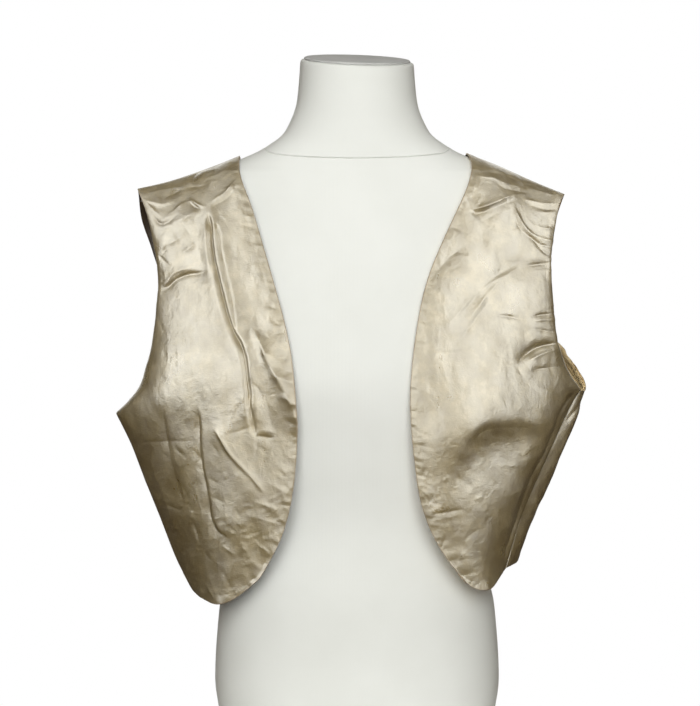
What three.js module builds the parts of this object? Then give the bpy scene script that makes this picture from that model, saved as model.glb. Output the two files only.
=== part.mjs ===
// Sleeveless open bolero of stiff metallic cloth, worn by a limbless dress form.
// Millimetres, +Z up. The front faces -Y and the wearer's right side is at -X.
// The origin is the middle of the form's flat base.

import * as THREE from "three";

// ---- Driving dimensions --------------------------------------------------------------

const CLOTH_WALL = 2; // outer cloth with its interlining
const LINING_WALL = 1;
const SEAM_GAP = 0.3; // between neighbouring pieces
const LINING_GAP = 0.5; // between the back and the lining inside it
const REST_GAP = 0.8; // between the cloth and the form that it rests on
const LEAVING_RADIUS = 14; // how gently the cloth leaves the form

const SHOULDER_ROLL = 8; // how far the cloth rounds out just below the shoulder seam
const SHOULDER_ROLL_SHARE = 0.03; // share of the height that this takes
const BACK_LOCALNESS = 3; // how soon the back leaves the bend of its armholes

const SIDE_SEAM_ROWS = 12; // rows of cloth from hem to underarm
const ARMHOLE_ROWS = 16; // rows from underarm to shoulder
const FRONT_COLUMNS = 15; // from the armhole to the front edge
const BACK_NECK_COLUMNS = 10; // under the neckline
const LINING_COLUMNS = 4; // of the back's own columns, under one lining strip

const NECK_SEAM_HEIGHT = 660; // at the sides of the neck
const NECK_SEAM_SLOPE = 0.325; // rise towards the back, mm per mm
const NECK_TOP_HEIGHT = 754;
const NECK_TOP_SLOPE = 0.205;
const NECK_TOP_LEAN = -0.035; // the top falls towards the wearer's left
const CAP_THICKNESS = 2.5;
const CAP_INSET = 4; // how far the cap's edge lies inside the neck's
const FORM_SIDES = 56;

// ---- The dress form: one row for each horizontal section -----------------------------
// middle, front and back are the depths of the widest place, the chest and the spine.

const FORM_SECTIONS = [
  { z: 0, halfWidth: 141, middle: 4, front: -87, back: 92, squareness: 2.35 },
  { z: 43, halfWidth: 152, middle: 5, front: -97, back: 105, squareness: 2.35 },
  { z: 75, halfWidth: 156, middle: 5, front: -100, back: 109, squareness: 2.35 },
  { z: 154, halfWidth: 151, middle: 4, front: -99, back: 101, squareness: 2.35 },
  { z: 240, halfWidth: 130, middle: 2, front: -88, back: 78, squareness: 2.3 },
  { z: 320, halfWidth: 148, middle: 1, front: -99, back: 86, squareness: 2.35 },
  { z: 400, halfWidth: 162, middle: 1, front: -112, back: 98, squareness: 2.4 },
  { z: 450, halfWidth: 165, middle: 2, front: -105, back: 102, squareness: 2.4 },
  { z: 500, halfWidth: 170, middle: 4, front: -92, back: 104, squareness: 2.35 },
  { z: 560, halfWidth: 178, middle: 7, front: -71, back: 97, squareness: 2.2 },
  { z: 600, halfWidth: 182, middle: 8, front: -56, back: 86, squareness: 2.1 },
  { z: 618, halfWidth: 178, middle: 8, front: -51, back: 80, squareness: 2 },
  { z: 627, halfWidth: 171, middle: 9, front: -48, back: 76, squareness: 1.9 },
  { z: 636, halfWidth: 150, middle: 10, front: -46, back: 73, squareness: 1.85 },
  { z: 645, halfWidth: 129, middle: 11, front: -45, back: 71, squareness: 1.85 },
  { z: 655, halfWidth: 107, middle: 12, front: -45, back: 70, squareness: 1.9 },
  { z: 676, halfWidth: 79.5, middle: 12, front: -45, back: 69, squareness: 1.95 },
  { z: 712, halfWidth: 66, middle: 12, front: -46, back: 69, squareness: 2 },
  { z: 780, halfWidth: 61, middle: 12, front: -45, back: 68, squareness: 2 },
];

// ---- The bolero: edges as the cloth's middle surface, from hem to shoulder -----------

const RIGHT = {
  sideSeam: [
    { x: -183, y: -4, z: 175 },
    { x: -198, y: 2, z: 203 },
    { x: -216, y: 4, z: 249 },
    { x: -233, y: 5, z: 291 },
    { x: -249, y: 5, z: 332 },
    { x: -265, y: 5, z: 365 },
  ],
  frontArmhole: [
    { x: -265, y: 5, z: 365 },
    { x: -249, y: -12, z: 380 },
    { x: -237, y: -22, z: 395 },
    { x: -225, y: -32, z: 429 },
    { x: -219, y: -34, z: 467 },
    { x: -216, y: -31, z: 505 },
    { x: -220, y: -22, z: 544 },
    { x: -231, y: -7, z: 588 },
    { x: -242, y: 6, z: 612 },
  ],
  backArmhole: [
    { x: -265, y: 5, z: 365 },
    { x: -247, y: 20, z: 381 },
    { x: -233, y: 35, z: 403 },
    { x: -222, y: 46, z: 435 },
    { x: -216, y: 51, z: 468 },
    { x: -217, y: 50, z: 502 },
    { x: -229, y: 40, z: 546 },
    { x: -240, y: 26, z: 581 },
    { x: -242, y: 6, z: 612 },
  ],
  shoulder: [
    { x: -242, y: 6, z: 612 },
    { x: -205, y: 8, z: 621 },
    { x: -164, y: 9, z: 635 },
    { x: -129, y: 7, z: 650 },
  ],
  frontEdge: [
    { x: -103, y: -100, z: 192 },
    { x: -81, y: -105, z: 232 },
    { x: -69, y: -109, z: 276 },
    { x: -63, y: -113, z: 335 },
    { x: -64, y: -114, z: 382 },
    { x: -71, y: -107, z: 440 },
    { x: -83, y: -94, z: 487 },
    { x: -104, y: -68, z: 558 },
    { x: -116, y: -51, z: 597 },
    { x: -127, y: -31, z: 622 },
    { x: -129, y: 7, z: 650 },
  ],
  frontHem: [
    { x: -183, y: -4, z: 175 },
    { x: -178, y: -30, z: 171 },
    { x: -168, y: -58, z: 167 },
    { x: -148, y: -86, z: 163 },
    { x: -132, y: -93, z: 169 },
    { x: -117, y: -97, z: 180 },
    { x: -103, y: -100, z: 192 },
  ],
};

const LEFT = {
  sideSeam: [
    { x: 161, y: -40, z: 198 },
    { x: 169, y: -36, z: 224 },
    { x: 177, y: -32, z: 250 },
    { x: 208, y: -22, z: 320 },
    { x: 236, y: -8, z: 377 },
    { x: 245, y: -3, z: 391 },
  ],
  frontArmhole: [
    { x: 245, y: -3, z: 391 },
    { x: 230, y: -20, z: 413 },
    { x: 218, y: -30, z: 445 },
    { x: 213, y: -31, z: 483 },
    { x: 211, y: -25, z: 530 },
    { x: 215, y: -12, z: 564 },
    { x: 223, y: 1, z: 597 },
    { x: 229, y: 7, z: 606 },
  ],
  backArmhole: [
    { x: 245, y: -3, z: 391 },
    { x: 251, y: 4, z: 389 },
    { x: 253, y: 12, z: 396 },
    { x: 240, y: 32, z: 422 },
    { x: 222, y: 45, z: 445 },
    { x: 214, y: 50, z: 485 },
    { x: 217, y: 44, z: 533 },
    { x: 221, y: 29, z: 575 },
    { x: 229, y: 7, z: 606 },
  ],
  shoulder: [
    { x: 229, y: 7, z: 606 },
    { x: 193, y: 9, z: 621 },
    { x: 155, y: 9, z: 638 },
    { x: 120, y: 8, z: 652 },
  ],
  frontEdge: [
    { x: 111, y: -99, z: 192 },
    { x: 91, y: -104, z: 218 },
    { x: 70, y: -108, z: 260 },
    { x: 60, y: -113, z: 315 },
    { x: 55, y: -115, z: 382 },
    { x: 60, y: -107, z: 440 },
    { x: 73, y: -88, z: 506 },
    { x: 102, y: -62, z: 574 },
    { x: 119, y: -42, z: 610 },
    { x: 126, y: -18, z: 636 },
    { x: 120, y: 8, z: 652 },
  ],
  frontHem: [
    { x: 161, y: -40, z: 198 },
    { x: 155, y: -57, z: 191 },
    { x: 142, y: -83, z: 179 },
    { x: 130, y: -93, z: 179 },
    { x: 120, y: -97, z: 184 },
    { x: 111, y: -99, z: 192 },
  ],
};

const BACK_HEM = [
  { x: -183, y: -4, z: 175 },
  { x: -180, y: 30, z: 179 },
  { x: -158, y: 72, z: 185 },
  { x: -110, y: 97, z: 190 },
  { x: -50, y: 107, z: 193 },
  { x: 0, y: 109, z: 194 },
  { x: 60, y: 108, z: 195 },
  { x: 120, y: 97, z: 197 },
  { x: 162, y: 66, z: 200 },
  { x: 179, y: 25, z: 203 },
  { x: 178, y: -5, z: 203 },
  { x: 161, y: -40, z: 198 },
];

const NECKLINE = [
  { x: -129, y: 7, z: 650 },
  { x: -121, y: 28, z: 652 },
  { x: -103, y: 46, z: 653 },
  { x: -73, y: 61, z: 653 },
  { x: -38, y: 71, z: 652 },
  { x: 0, y: 75, z: 652 },
  { x: 38, y: 71, z: 652 },
  { x: 73, y: 61, z: 653 },
  { x: 103, y: 46, z: 653 },
  { x: 118, y: 28, z: 652 },
  { x: 120, y: 8, z: 652 },
];

// How far the cloth stands out between its edges, by share of the height.

const FRONT_FULLNESS = [
  { height: 0, wing: 6, chest: 2 },
  { height: 0.2, wing: 9, chest: 4 },
  { height: 0.43, wing: 9, chest: 4 },
  { height: 0.7, wing: 8, chest: 4 },
  { height: 0.88, wing: 6, chest: 4 },
  { height: 1, wing: 0, chest: 0 },
];

const BACK_FULLNESS = [
  { height: 0, rightWing: 0, spine: 0, leftWing: 0, leftRoll: 0 },
  { height: 0.1, rightWing: 6, spine: 2, leftWing: 6, leftRoll: 8 },
  { height: 0.2, rightWing: 12, spine: 6, leftWing: 12, leftRoll: 15 },
  { height: 0.35, rightWing: 18, spine: 8, leftWing: 16, leftRoll: 20 },
  { height: 0.43, rightWing: 18, spine: 10, leftWing: 16, leftRoll: 14 },
  { height: 0.5, rightWing: 16, spine: 10, leftWing: 14, leftRoll: 4 },
  { height: 0.7, rightWing: 12, spine: 10, leftWing: 10, leftRoll: 0 },
  { height: 0.88, rightWing: 6, spine: 6, leftWing: 6, leftRoll: 0 },
  { height: 1, rightWing: 0, spine: 0, leftWing: 0, leftRoll: 0 },
];

// The largest folds: each runs from one point to the other, rises over its width
// and stands out (or, below zero, sinks in) by its rise.

const RIGHT_FRONT_FOLDS = [
  { name: "pleat", fromX: -149, fromZ: 585, toX: -128, toZ: 440, width: 9, rise: 5 },
  { name: "pleat foot", fromX: -128, fromZ: 440, toX: -112, toZ: 345, width: 10, rise: 5 },
  { name: "hook", fromX: -163, fromZ: 372, toX: -146, toZ: 243, width: 12, rise: -5 },
  { name: "hem slant", fromX: -152, fromZ: 350, toX: -106, toZ: 283, width: 12, rise: 5 },
  { name: "armhole pull", fromX: -212, fromZ: 495, toX: -165, toZ: 517, width: 10, rise: -4 },
  { name: "shoulder droop", fromX: -212, fromZ: 552, toX: -175, toZ: 572, width: 12, rise: 4 },
];

const LEFT_FRONT_FOLDS = [
  { name: "chest slant", fromX: 116, fromZ: 484, toX: 178, toZ: 534, width: 11, rise: -5 },
  { name: "armhole pull", fromX: 178, fromZ: 518, toX: 214, toZ: 528, width: 9, rise: -4 },
  { name: "bust slant", fromX: 170, fromZ: 424, toX: 212, toZ: 441, width: 12, rise: -5 },
  { name: "drag bend", fromX: 119, fromZ: 318, toX: 132, toZ: 350, width: 13, rise: -6 },
  { name: "drag", fromX: 132, fromZ: 350, toX: 208, toZ: 356, width: 13, rise: -7 },
  { name: "side valley", fromX: 218, fromZ: 362, toX: 188, toZ: 284, width: 9, rise: -7 },
  { name: "side valley foot", fromX: 188, fromZ: 284, toX: 158, toZ: 212, width: 8, rise: -5 },
];

const BACK_FOLDS = [
  { name: "right hang", fromX: -178, fromZ: 520, toX: -150, toZ: 330, width: 14, rise: 6 },
  { name: "left hang", fromX: 176, fromZ: 515, toX: 152, toZ: 320, width: 14, rise: 6 },
  { name: "waist drag", fromX: -110, fromZ: 300, toX: 70, toZ: 276, width: 16, rise: -4 },
  { name: "hem swing", fromX: 96, fromZ: 330, toX: 112, toZ: 215, width: 15, rise: 5 },
];

// ---- Working out curves and columns --------------------------------------------------

// A smooth curve through a table's column that never overshoots between its rows.
function column(rows, key, name, at) {
  const last = rows.length - 1;
  if (at <= rows[0][key]) return rows[0][name];
  if (at >= rows[last][key]) return rows[last][name];
  let i = 0;
  while (at > rows[i + 1][key]) i += 1;
  const slope = (k) => (rows[k + 1][name] - rows[k][name]) / (rows[k + 1][key] - rows[k][key]);
  const tangent = (k) => {
    if (k === 0 || k === last) return k === 0 ? slope(0) : slope(last - 1);
    const before = slope(k - 1);
    const after = slope(k);
    return before * after <= 0 ? 0 : (2 * before * after) / (before + after);
  };
  const span = rows[i + 1][key] - rows[i][key];
  const u = (at - rows[i][key]) / span;
  const rise = rows[i + 1][name] - rows[i][name];
  const start = tangent(i) * span;
  const end = tangent(i + 1) * span;
  const squared = u * u * (3 * rise - 2 * start - end);
  const cubed = u * u * u * (start + end - 2 * rise);
  return rows[i][name] + u * start + squared + cubed;
}

// A smooth curve through a table's rows, as a function of the share of its length.
function curveThrough(rows) {
  const points = rows.map((row) => new THREE.Vector3(row.x, row.y, row.z));
  const curve = new THREE.CatmullRomCurve3(points, false, "centripetal");
  return (share) => curve.getPointAt(THREE.MathUtils.clamp(share, 0, 1));
}

// Zero at both ends of 0..1 and one at the peak; a larger sharpness makes it narrower.
function hump(share, peak, sharpness) {
  if (share <= 0 || share >= 1) return 0;
  const rising = Math.pow(share / peak, sharpness * peak);
  const falling = Math.pow((1 - share) / (1 - peak), sharpness * (1 - peak));
  return rising * falling;
}

function smoothLarger(a, b, radius) {
  const closeness = Math.max(radius - Math.abs(a - b), 0) / radius;
  return Math.max(a, b) + (closeness * closeness * radius) / 4;
}

// ---- The dress form ------------------------------------------------------------------

function formSection(z) {
  const section = {};
  for (const name of ["halfWidth", "middle", "front", "back", "squareness"]) {
    section[name] = column(FORM_SECTIONS, "z", name, z);
  }
  return section;
}

// The point at an angle round the form, on a plane that slopes back and leans sideways.
function formPoint(angle, height, slope, lean, inset) {
  const point = new THREE.Vector3(0, 0, height);
  for (let pass = 0; pass < 12; pass += 1) {
    const section = formSection(point.z);
    const power = 2 / section.squareness;
    const across = Math.sign(Math.cos(angle)) * Math.pow(Math.abs(Math.cos(angle)), power);
    const along = Math.sign(Math.sin(angle)) * Math.pow(Math.abs(Math.sin(angle)), power);
    const depth = along < 0 ? section.middle - section.front : section.back - section.middle;
    point.x = across * (section.halfWidth - inset);
    point.y = section.middle + along * (depth - inset);
    point.z = height + slope * (point.y - section.middle) + lean * point.x;
  }
  return point;
}

function formRing(height, slope, lean = 0, inset = 0) {
  const ring = [];
  for (let side = 0; side < FORM_SIDES; side += 1) {
    const angle = (2 * Math.PI * side) / FORM_SIDES;
    ring.push(formPoint(angle, height, slope, lean, inset));
  }
  return ring;
}

// A closed body through rings of equal count, from the lowest to the highest.
function loft(rings) {
  const sides = rings[0].length;
  const positions = [];
  const faces = [];
  for (const ring of rings) {
    for (const point of ring) positions.push(point.x, point.y, point.z);
  }
  for (let level = 0; level + 1 < rings.length; level += 1) {
    for (let side = 0; side < sides; side += 1) {
      const here = level * sides + side;
      const next = level * sides + ((side + 1) % sides);
      faces.push(here, next, next + sides, here, next + sides, here + sides);
    }
  }
  const addLid = (ring, first, upwards) => {
    const centre = ring.reduce((sum, point) => sum.add(point), new THREE.Vector3());
    centre.divideScalar(sides);
    const hub = positions.length / 3;
    positions.push(centre.x, centre.y, centre.z);
    for (let side = 0; side < sides; side += 1) {
      const here = first + side;
      const next = first + ((side + 1) % sides);
      if (upwards) faces.push(hub, here, next);
      else faces.push(hub, next, here);
    }
  };
  addLid(rings[0], 0, false);
  addLid(rings[rings.length - 1], (rings.length - 1) * sides, true);
  return bodyFrom(positions, faces);
}

function bodyFrom(positions, faces) {
  const geometry = new THREE.BufferGeometry();
  geometry.setAttribute("position", new THREE.Float32BufferAttribute(positions, 3));
  geometry.setIndex(faces);
  geometry.computeVertexNormals();
  return geometry;
}

function torsoGeometry() {
  const rings = [];
  const trunkLevels = 17;
  const trunkTop = 590;
  for (let level = 0; level <= trunkLevels; level += 1) {
    rings.push(formRing((trunkTop * level) / trunkLevels, 0));
  }
  const shoulderLevels = 11;
  for (let level = 1; level <= shoulderLevels; level += 1) {
    const share = level / shoulderLevels;
    const height = trunkTop + (NECK_SEAM_HEIGHT - SEAM_GAP - trunkTop) * share;
    rings.push(formRing(height, NECK_SEAM_SLOPE * share));
  }
  return loft(rings);
}

function neckGeometry() {
  const rings = [];
  const levels = 8;
  for (let level = 0; level <= levels; level += 1) {
    const share = level / levels;
    const height = NECK_SEAM_HEIGHT + (NECK_TOP_HEIGHT - NECK_SEAM_HEIGHT) * share;
    const slope = NECK_SEAM_SLOPE + (NECK_TOP_SLOPE - NECK_SEAM_SLOPE) * share;
    rings.push(formRing(height, slope, NECK_TOP_LEAN * share));
  }
  return loft(rings);
}

function neckCapGeometry() {
  const seat = NECK_TOP_HEIGHT + SEAM_GAP;
  return loft([
    formRing(seat, NECK_TOP_SLOPE, NECK_TOP_LEAN, CAP_INSET),
    formRing(seat + CAP_THICKNESS, NECK_TOP_SLOPE, NECK_TOP_LEAN, CAP_INSET),
  ]);
}

// Depth of the form's surface, grown by a margin, at a place seen from the front
// (side -1) or from behind (side 1); null beside the form.
function formDepth(x, z, side, margin) {
  const lift = THREE.MathUtils.smoothstep(z, 540, 600);
  const section = formSection(z - margin * lift);
  const share = Math.abs(x) / (section.halfWidth + margin);
  if (share >= 1) return null;
  const reach = side < 0 ? section.middle - section.front : section.back - section.middle;
  const across = Math.pow(1 - Math.pow(share, section.squareness), 1 / section.squareness);
  return section.middle + side * (reach + margin) * across;
}

// ---- The cloth's surfaces ------------------------------------------------------------
// s runs across a piece and t from its hem to its shoulder, both from 0 to 1.

const UNDERARM = 0.43; // share of the height at which the side seam ends
const ROWS = SIDE_SEAM_ROWS + ARMHOLE_ROWS;
// The back has a front's columns under each shoulder seam, so that the seams' points agree.
const BACK_COLUMNS = 2 * FRONT_COLUMNS + BACK_NECK_COLUMNS;
const SHOULDER_SHARE = FRONT_COLUMNS / BACK_COLUMNS;

// Height share of a row: even up the side seam, then closer together towards the shoulder.
function rowHeight(row) {
  if (row <= SIDE_SEAM_ROWS) return (UNDERARM * row) / SIDE_SEAM_ROWS;
  const below = (ROWS - row) / ARMHOLE_ROWS;
  return 1 - (1 - UNDERARM) * Math.pow(below, 1.6);
}

function outerEdge(seam, armhole) {
  return (t) => {
    if (t <= UNDERARM) return seam(t / UNDERARM);
    return armhole((t - UNDERARM) / (1 - UNDERARM));
  };
}

// The surface that blends four edges: start and end run up, bottom and top across.
// A larger localness keeps the bend of the start and end edges closer to them.
function blendEdges(edges, s, t, localness) {
  const nearStart = Math.pow(1 - s, localness);
  const nearEnd = Math.pow(s, localness);
  const corners = [
    { at: edges.start(0), weight: nearStart * (1 - t) },
    { at: edges.start(1), weight: nearStart * t },
    { at: edges.end(0), weight: nearEnd * (1 - t) },
    { at: edges.end(1), weight: nearEnd * t },
  ];
  const point = new THREE.Vector3();
  point.addScaledVector(edges.bottom(s), 1 - t);
  point.addScaledVector(edges.top(s), t);
  point.addScaledVector(edges.start(t), nearStart);
  point.addScaledVector(edges.end(t), nearEnd);
  for (const corner of corners) point.addScaledVector(corner.at, -corner.weight);
  return point;
}

function foldRise(folds, x, z) {
  let rise = 0;
  for (const fold of folds) {
    const runX = fold.toX - fold.fromX;
    const runZ = fold.toZ - fold.fromZ;
    const along = ((x - fold.fromX) * runX + (z - fold.fromZ) * runZ) / (runX * runX + runZ * runZ);
    const nearest = THREE.MathUtils.clamp(along, 0, 1);
    const away = Math.hypot(x - fold.fromX - nearest * runX, z - fold.fromZ - nearest * runZ);
    rise += fold.rise * Math.exp(-((away / fold.width) ** 2));
  }
  return rise;
}

// Cloth that stands out from the blended edges, and rests on the form where they meet.
// It rounds out below the shoulder seam and keeps to the seam's own line at the top.
function restOnForm(point, side, standOut, t) {
  if (t >= 1) return point.y;
  const below = Math.min(1, (1 - t) / SHOULDER_ROLL_SHARE);
  const highUp = THREE.MathUtils.smoothstep(t, 0.75, 0.95);
  const roll = SHOULDER_ROLL * highUp * Math.sqrt(1 - (1 - below) ** 2);
  const margin = CLOTH_WALL / 2 + REST_GAP;
  const free = side * point.y + standOut + roll;
  const support = formDepth(point.x, point.z, side, margin);
  return side * (support === null ? free : smoothLarger(free, side * support, LEAVING_RADIUS));
}

// Folds fade out towards the shoulder seam, so that neighbouring pieces meet there.
function seamFade(t) {
  return 1 - THREE.MathUtils.smoothstep(t, 0.9, 1);
}

function frontSurface(pattern, folds) {
  const edges = {
    start: outerEdge(curveThrough(pattern.sideSeam), curveThrough(pattern.frontArmhole)),
    end: curveThrough(pattern.frontEdge),
    bottom: curveThrough(pattern.frontHem),
    top: curveThrough(pattern.shoulder),
  };
  return (s, t) => {
    const point = blendEdges(edges, s, t, 1);
    const wing = column(FRONT_FULLNESS, "height", "wing", t) * hump(s, 0.3, 3);
    const chest = column(FRONT_FULLNESS, "height", "chest", t) * hump(s, 0.7, 3);
    const fold = foldRise(folds, point.x, point.z) * seamFade(t) * Math.min(1, s / 0.06);
    point.y = restOnForm(point, -1, wing + chest + fold, t);
    return point;
  };
}

function backSurface() {
  const rightEdge = outerEdge(curveThrough(RIGHT.sideSeam), curveThrough(RIGHT.backArmhole));
  const leftEdge = outerEdge(curveThrough(LEFT.sideSeam), curveThrough(LEFT.backArmhole));
  const rightShoulder = curveThrough(RIGHT.shoulder);
  const leftShoulder = curveThrough(LEFT.shoulder);
  const neckline = curveThrough(NECKLINE);
  const top = (s) => {
    if (s < SHOULDER_SHARE) return rightShoulder(s / SHOULDER_SHARE);
    if (s > 1 - SHOULDER_SHARE) return leftShoulder((1 - s) / SHOULDER_SHARE);
    return neckline((s - SHOULDER_SHARE) / (1 - 2 * SHOULDER_SHARE));
  };
  const edges = { start: rightEdge, end: leftEdge, bottom: curveThrough(BACK_HEM), top };
  return (s, t) => {
    const point = blendEdges(edges, s, t, BACK_LOCALNESS);
    const fullness = (name) => column(BACK_FULLNESS, "height", name, t);
    const rightWing = fullness("rightWing") * hump(s, 0.22, 6);
    const leftWing = fullness("leftWing") * hump(s, 0.76, 6);
    const spine = fullness("spine") * hump(s, 0.5, 5);
    point.x += fullness("leftRoll") * hump(s, 0.94, 26);
    const fold = foldRise(BACK_FOLDS, point.x, point.z) * seamFade(t);
    const fromEdges = Math.min(1, s / 0.05, (1 - s) / 0.05);
    const standOut = (rightWing + leftWing + spine + fold) * fromEdges;
    point.y = restOnForm(point, 1, standOut, t);
    return point;
  };
}

// Outward direction of a surface at a place on it.
function normalOf(surface, s, t, outward) {
  const step = 0.004;
  const across = surface(Math.min(1, s + step), t).sub(surface(Math.max(0, s - step), t));
  const up = surface(s, Math.min(1, t + step)).sub(surface(s, Math.max(0, t - step)));
  return across.cross(up).normalize().multiplyScalar(outward);
}

// ---- Seams ---------------------------------------------------------------------------
// Two pieces meet at a seam in a mitre, each half the seam gap away from its plane.

const surfaces = {
  rightFront: { at: frontSurface(RIGHT, RIGHT_FRONT_FOLDS), outward: 1 },
  leftFront: { at: frontSurface(LEFT, LEFT_FRONT_FOLDS), outward: -1 },
  back: { at: backSurface(), outward: -1 },
};

// Each seam gives the same place on its front and its back by one share of its length.
const seams = {
  rightSide: {
    front: "rightFront",
    frontAt: (share) => [0, share * UNDERARM],
    backAt: (share) => [0, share * UNDERARM],
  },
  leftSide: {
    front: "leftFront",
    frontAt: (share) => [0, share * UNDERARM],
    backAt: (share) => [1, share * UNDERARM],
  },
  rightShoulder: {
    front: "rightFront",
    frontAt: (share) => [share, 1],
    backAt: (share) => [SHOULDER_SHARE * share, 1],
  },
  leftShoulder: {
    front: "leftFront",
    frontAt: (share) => [share, 1],
    backAt: (share) => [1 - SHOULDER_SHARE * share, 1],
  },
};

function mitre(seam, share, towardsFront) {
  const front = surfaces[seam.front];
  const frontNormal = normalOf(front.at, ...seam.frontAt(share), front.outward);
  const backNormal = normalOf(surfaces.back.at, ...seam.backAt(share), surfaces.back.outward);
  const outward = frontNormal.clone().add(backNormal).normalize();
  const halfWall = CLOTH_WALL / 2 / Math.max(0.4, outward.dot(frontNormal));
  const before = front.at(...seam.frontAt(Math.max(0, share - 0.02)));
  const after = front.at(...seam.frontAt(Math.min(1, share + 0.02)));
  const apart = after.sub(before).cross(outward).normalize();
  if (apart.y > 0 === towardsFront) apart.negate();
  const middle = front.at(...seam.frontAt(share)).addScaledVector(apart, SEAM_GAP / 2);
  return {
    outer: middle.clone().addScaledVector(outward, halfWall),
    inner: middle.clone().addScaledVector(outward, -halfWall),
  };
}

// ---- Cloth walls ---------------------------------------------------------------------

// A closed wall from a grid of pairs, each an outer and an inner point.
function wallGeometry(pairs, outward) {
  const columns = pairs.length;
  const rows = pairs[0].length;
  const positions = [];
  const faces = [];
  for (const side of ["outer", "inner"]) {
    for (const line of pairs) {
      for (const pair of line) positions.push(pair[side].x, pair[side].y, pair[side].z);
    }
  }
  const outer = (i, j) => i * rows + j;
  const inner = (i, j) => columns * rows + i * rows + j;
  const quad = (a, b, c, d) => {
    if (outward > 0) faces.push(a, b, c, a, c, d);
    else faces.push(a, c, b, a, d, c);
  };
  for (let i = 0; i + 1 < columns; i += 1) {
    for (let j = 0; j + 1 < rows; j += 1) {
      quad(outer(i, j), outer(i + 1, j), outer(i + 1, j + 1), outer(i, j + 1));
      quad(inner(i, j), inner(i, j + 1), inner(i + 1, j + 1), inner(i + 1, j));
    }
    quad(outer(i, 0), inner(i, 0), inner(i + 1, 0), outer(i + 1, 0));
    quad(outer(i, rows - 1), outer(i + 1, rows - 1), inner(i + 1, rows - 1), inner(i, rows - 1));
  }
  const last = columns - 1;
  for (let j = 0; j + 1 < rows; j += 1) {
    quad(outer(0, j), outer(0, j + 1), inner(0, j + 1), inner(0, j));
    quad(outer(last, j), inner(last, j), inner(last, j + 1), outer(last, j + 1));
  }
  return bodyFrom(positions, faces);
}

// Pairs of points half a wall either side of a surface, moved off it by an offset.
function pairAt(surface, s, t, wall, offset) {
  const middle = surface.at(s, t);
  const normal = normalOf(surface.at, s, t, surface.outward);
  return {
    outer: middle.clone().addScaledVector(normal, offset + wall / 2),
    inner: middle.clone().addScaledVector(normal, offset - wall / 2),
  };
}

function frontGeometry(surfaceName, sideSeam, shoulderSeam) {
  const surface = surfaces[surfaceName];
  const pairs = [];
  for (let i = 0; i <= FRONT_COLUMNS; i += 1) {
    const line = [];
    for (let j = 0; j <= ROWS; j += 1) {
      if (j === ROWS) line.push(mitre(shoulderSeam, i / FRONT_COLUMNS, true));
      else if (i === 0 && j <= SIDE_SEAM_ROWS) line.push(mitre(sideSeam, j / SIDE_SEAM_ROWS, true));
      else line.push(pairAt(surface, i / FRONT_COLUMNS, rowHeight(j), CLOTH_WALL, 0));
    }
    pairs.push(line);
  }
  return wallGeometry(pairs, surface.outward);
}

function backGeometry() {
  const pairs = [];
  for (let i = 0; i <= BACK_COLUMNS; i += 1) {
    const fromLeft = BACK_COLUMNS - i;
    const line = [];
    for (let j = 0; j <= ROWS; j += 1) {
      const atTop = j === ROWS;
      const onSide = j <= SIDE_SEAM_ROWS;
      if (atTop && i <= FRONT_COLUMNS) {
        line.push(mitre(seams.rightShoulder, i / FRONT_COLUMNS, false));
      } else if (atTop && fromLeft <= FRONT_COLUMNS) {
        line.push(mitre(seams.leftShoulder, fromLeft / FRONT_COLUMNS, false));
      } else if (onSide && i === 0) {
        line.push(mitre(seams.rightSide, j / SIDE_SEAM_ROWS, false));
      } else if (onSide && fromLeft === 0) {
        line.push(mitre(seams.leftSide, j / SIDE_SEAM_ROWS, false));
      } else {
        line.push(pairAt(surfaces.back, i / BACK_COLUMNS, rowHeight(j), CLOTH_WALL, 0));
      }
    }
    pairs.push(line);
  }
  return wallGeometry(pairs, surfaces.back.outward);
}

// A strip of lining inside the back along one armhole, made from the back's own points.
function liningGeometry(atLeft) {
  const offset = -(CLOTH_WALL / 2 + LINING_GAP + LINING_WALL / 2);
  const lowestRow = SIDE_SEAM_ROWS + 2;
  const highestRow = ROWS - 2;
  const pairs = [];
  for (let i = 0; i <= LINING_COLUMNS; i += 1) {
    const away = i / BACK_COLUMNS;
    const line = [];
    const s = atLeft ? 1 - away : away;
    for (let j = lowestRow; j <= highestRow; j += 1) {
      line.push(pairAt(surfaces.back, s, rowHeight(j), LINING_WALL, offset));
    }
    pairs.push(line);
  }
  return wallGeometry(pairs, atLeft ? -surfaces.back.outward : surfaces.back.outward);
}

// ---- Materials and assembly ----------------------------------------------------------

function material(color, roughness, metalness) {
  return new THREE.MeshStandardMaterial({ color, roughness, metalness });
}

const goldCloth = () => material("#cbbf9c", 0.42, 0.55);
const satinLining = () => material("#b39a68", 0.35, 0.1);
const whiteJersey = () => material("#ebece6", 0.9, 0);

function addPiece(group, name, geometry, finish) {
  const mesh = new THREE.Mesh(geometry, finish);
  mesh.name = name;
  group.add(mesh);
}

const figure = new THREE.Group();
addPiece(figure, "form_torso", torsoGeometry(), whiteJersey());
addPiece(figure, "form_neck", neckGeometry(), whiteJersey());
addPiece(figure, "form_neck_cap", neckCapGeometry(), material("#a9a8a6", 0.8, 0));

const rightFront = frontGeometry("rightFront", seams.rightSide, seams.rightShoulder);
const leftFront = frontGeometry("leftFront", seams.leftSide, seams.leftShoulder);
const bolero = new THREE.Group();
addPiece(bolero, "bolero_front_right", rightFront, goldCloth());
addPiece(bolero, "bolero_front_left", leftFront, goldCloth());
addPiece(bolero, "bolero_back", backGeometry(), goldCloth());
addPiece(bolero, "armhole_lining_right", liningGeometry(false), satinLining());
addPiece(bolero, "armhole_lining_left", liningGeometry(true), satinLining());

const part = new THREE.Group();
part.add(figure, bolero);

export default part;
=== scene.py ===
"""Pale gold bolero resting on a white dress form.

Tables are in millimetres, in the frame's own axes: +Z up, -Y the wearer's front.
"""
import math

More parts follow.
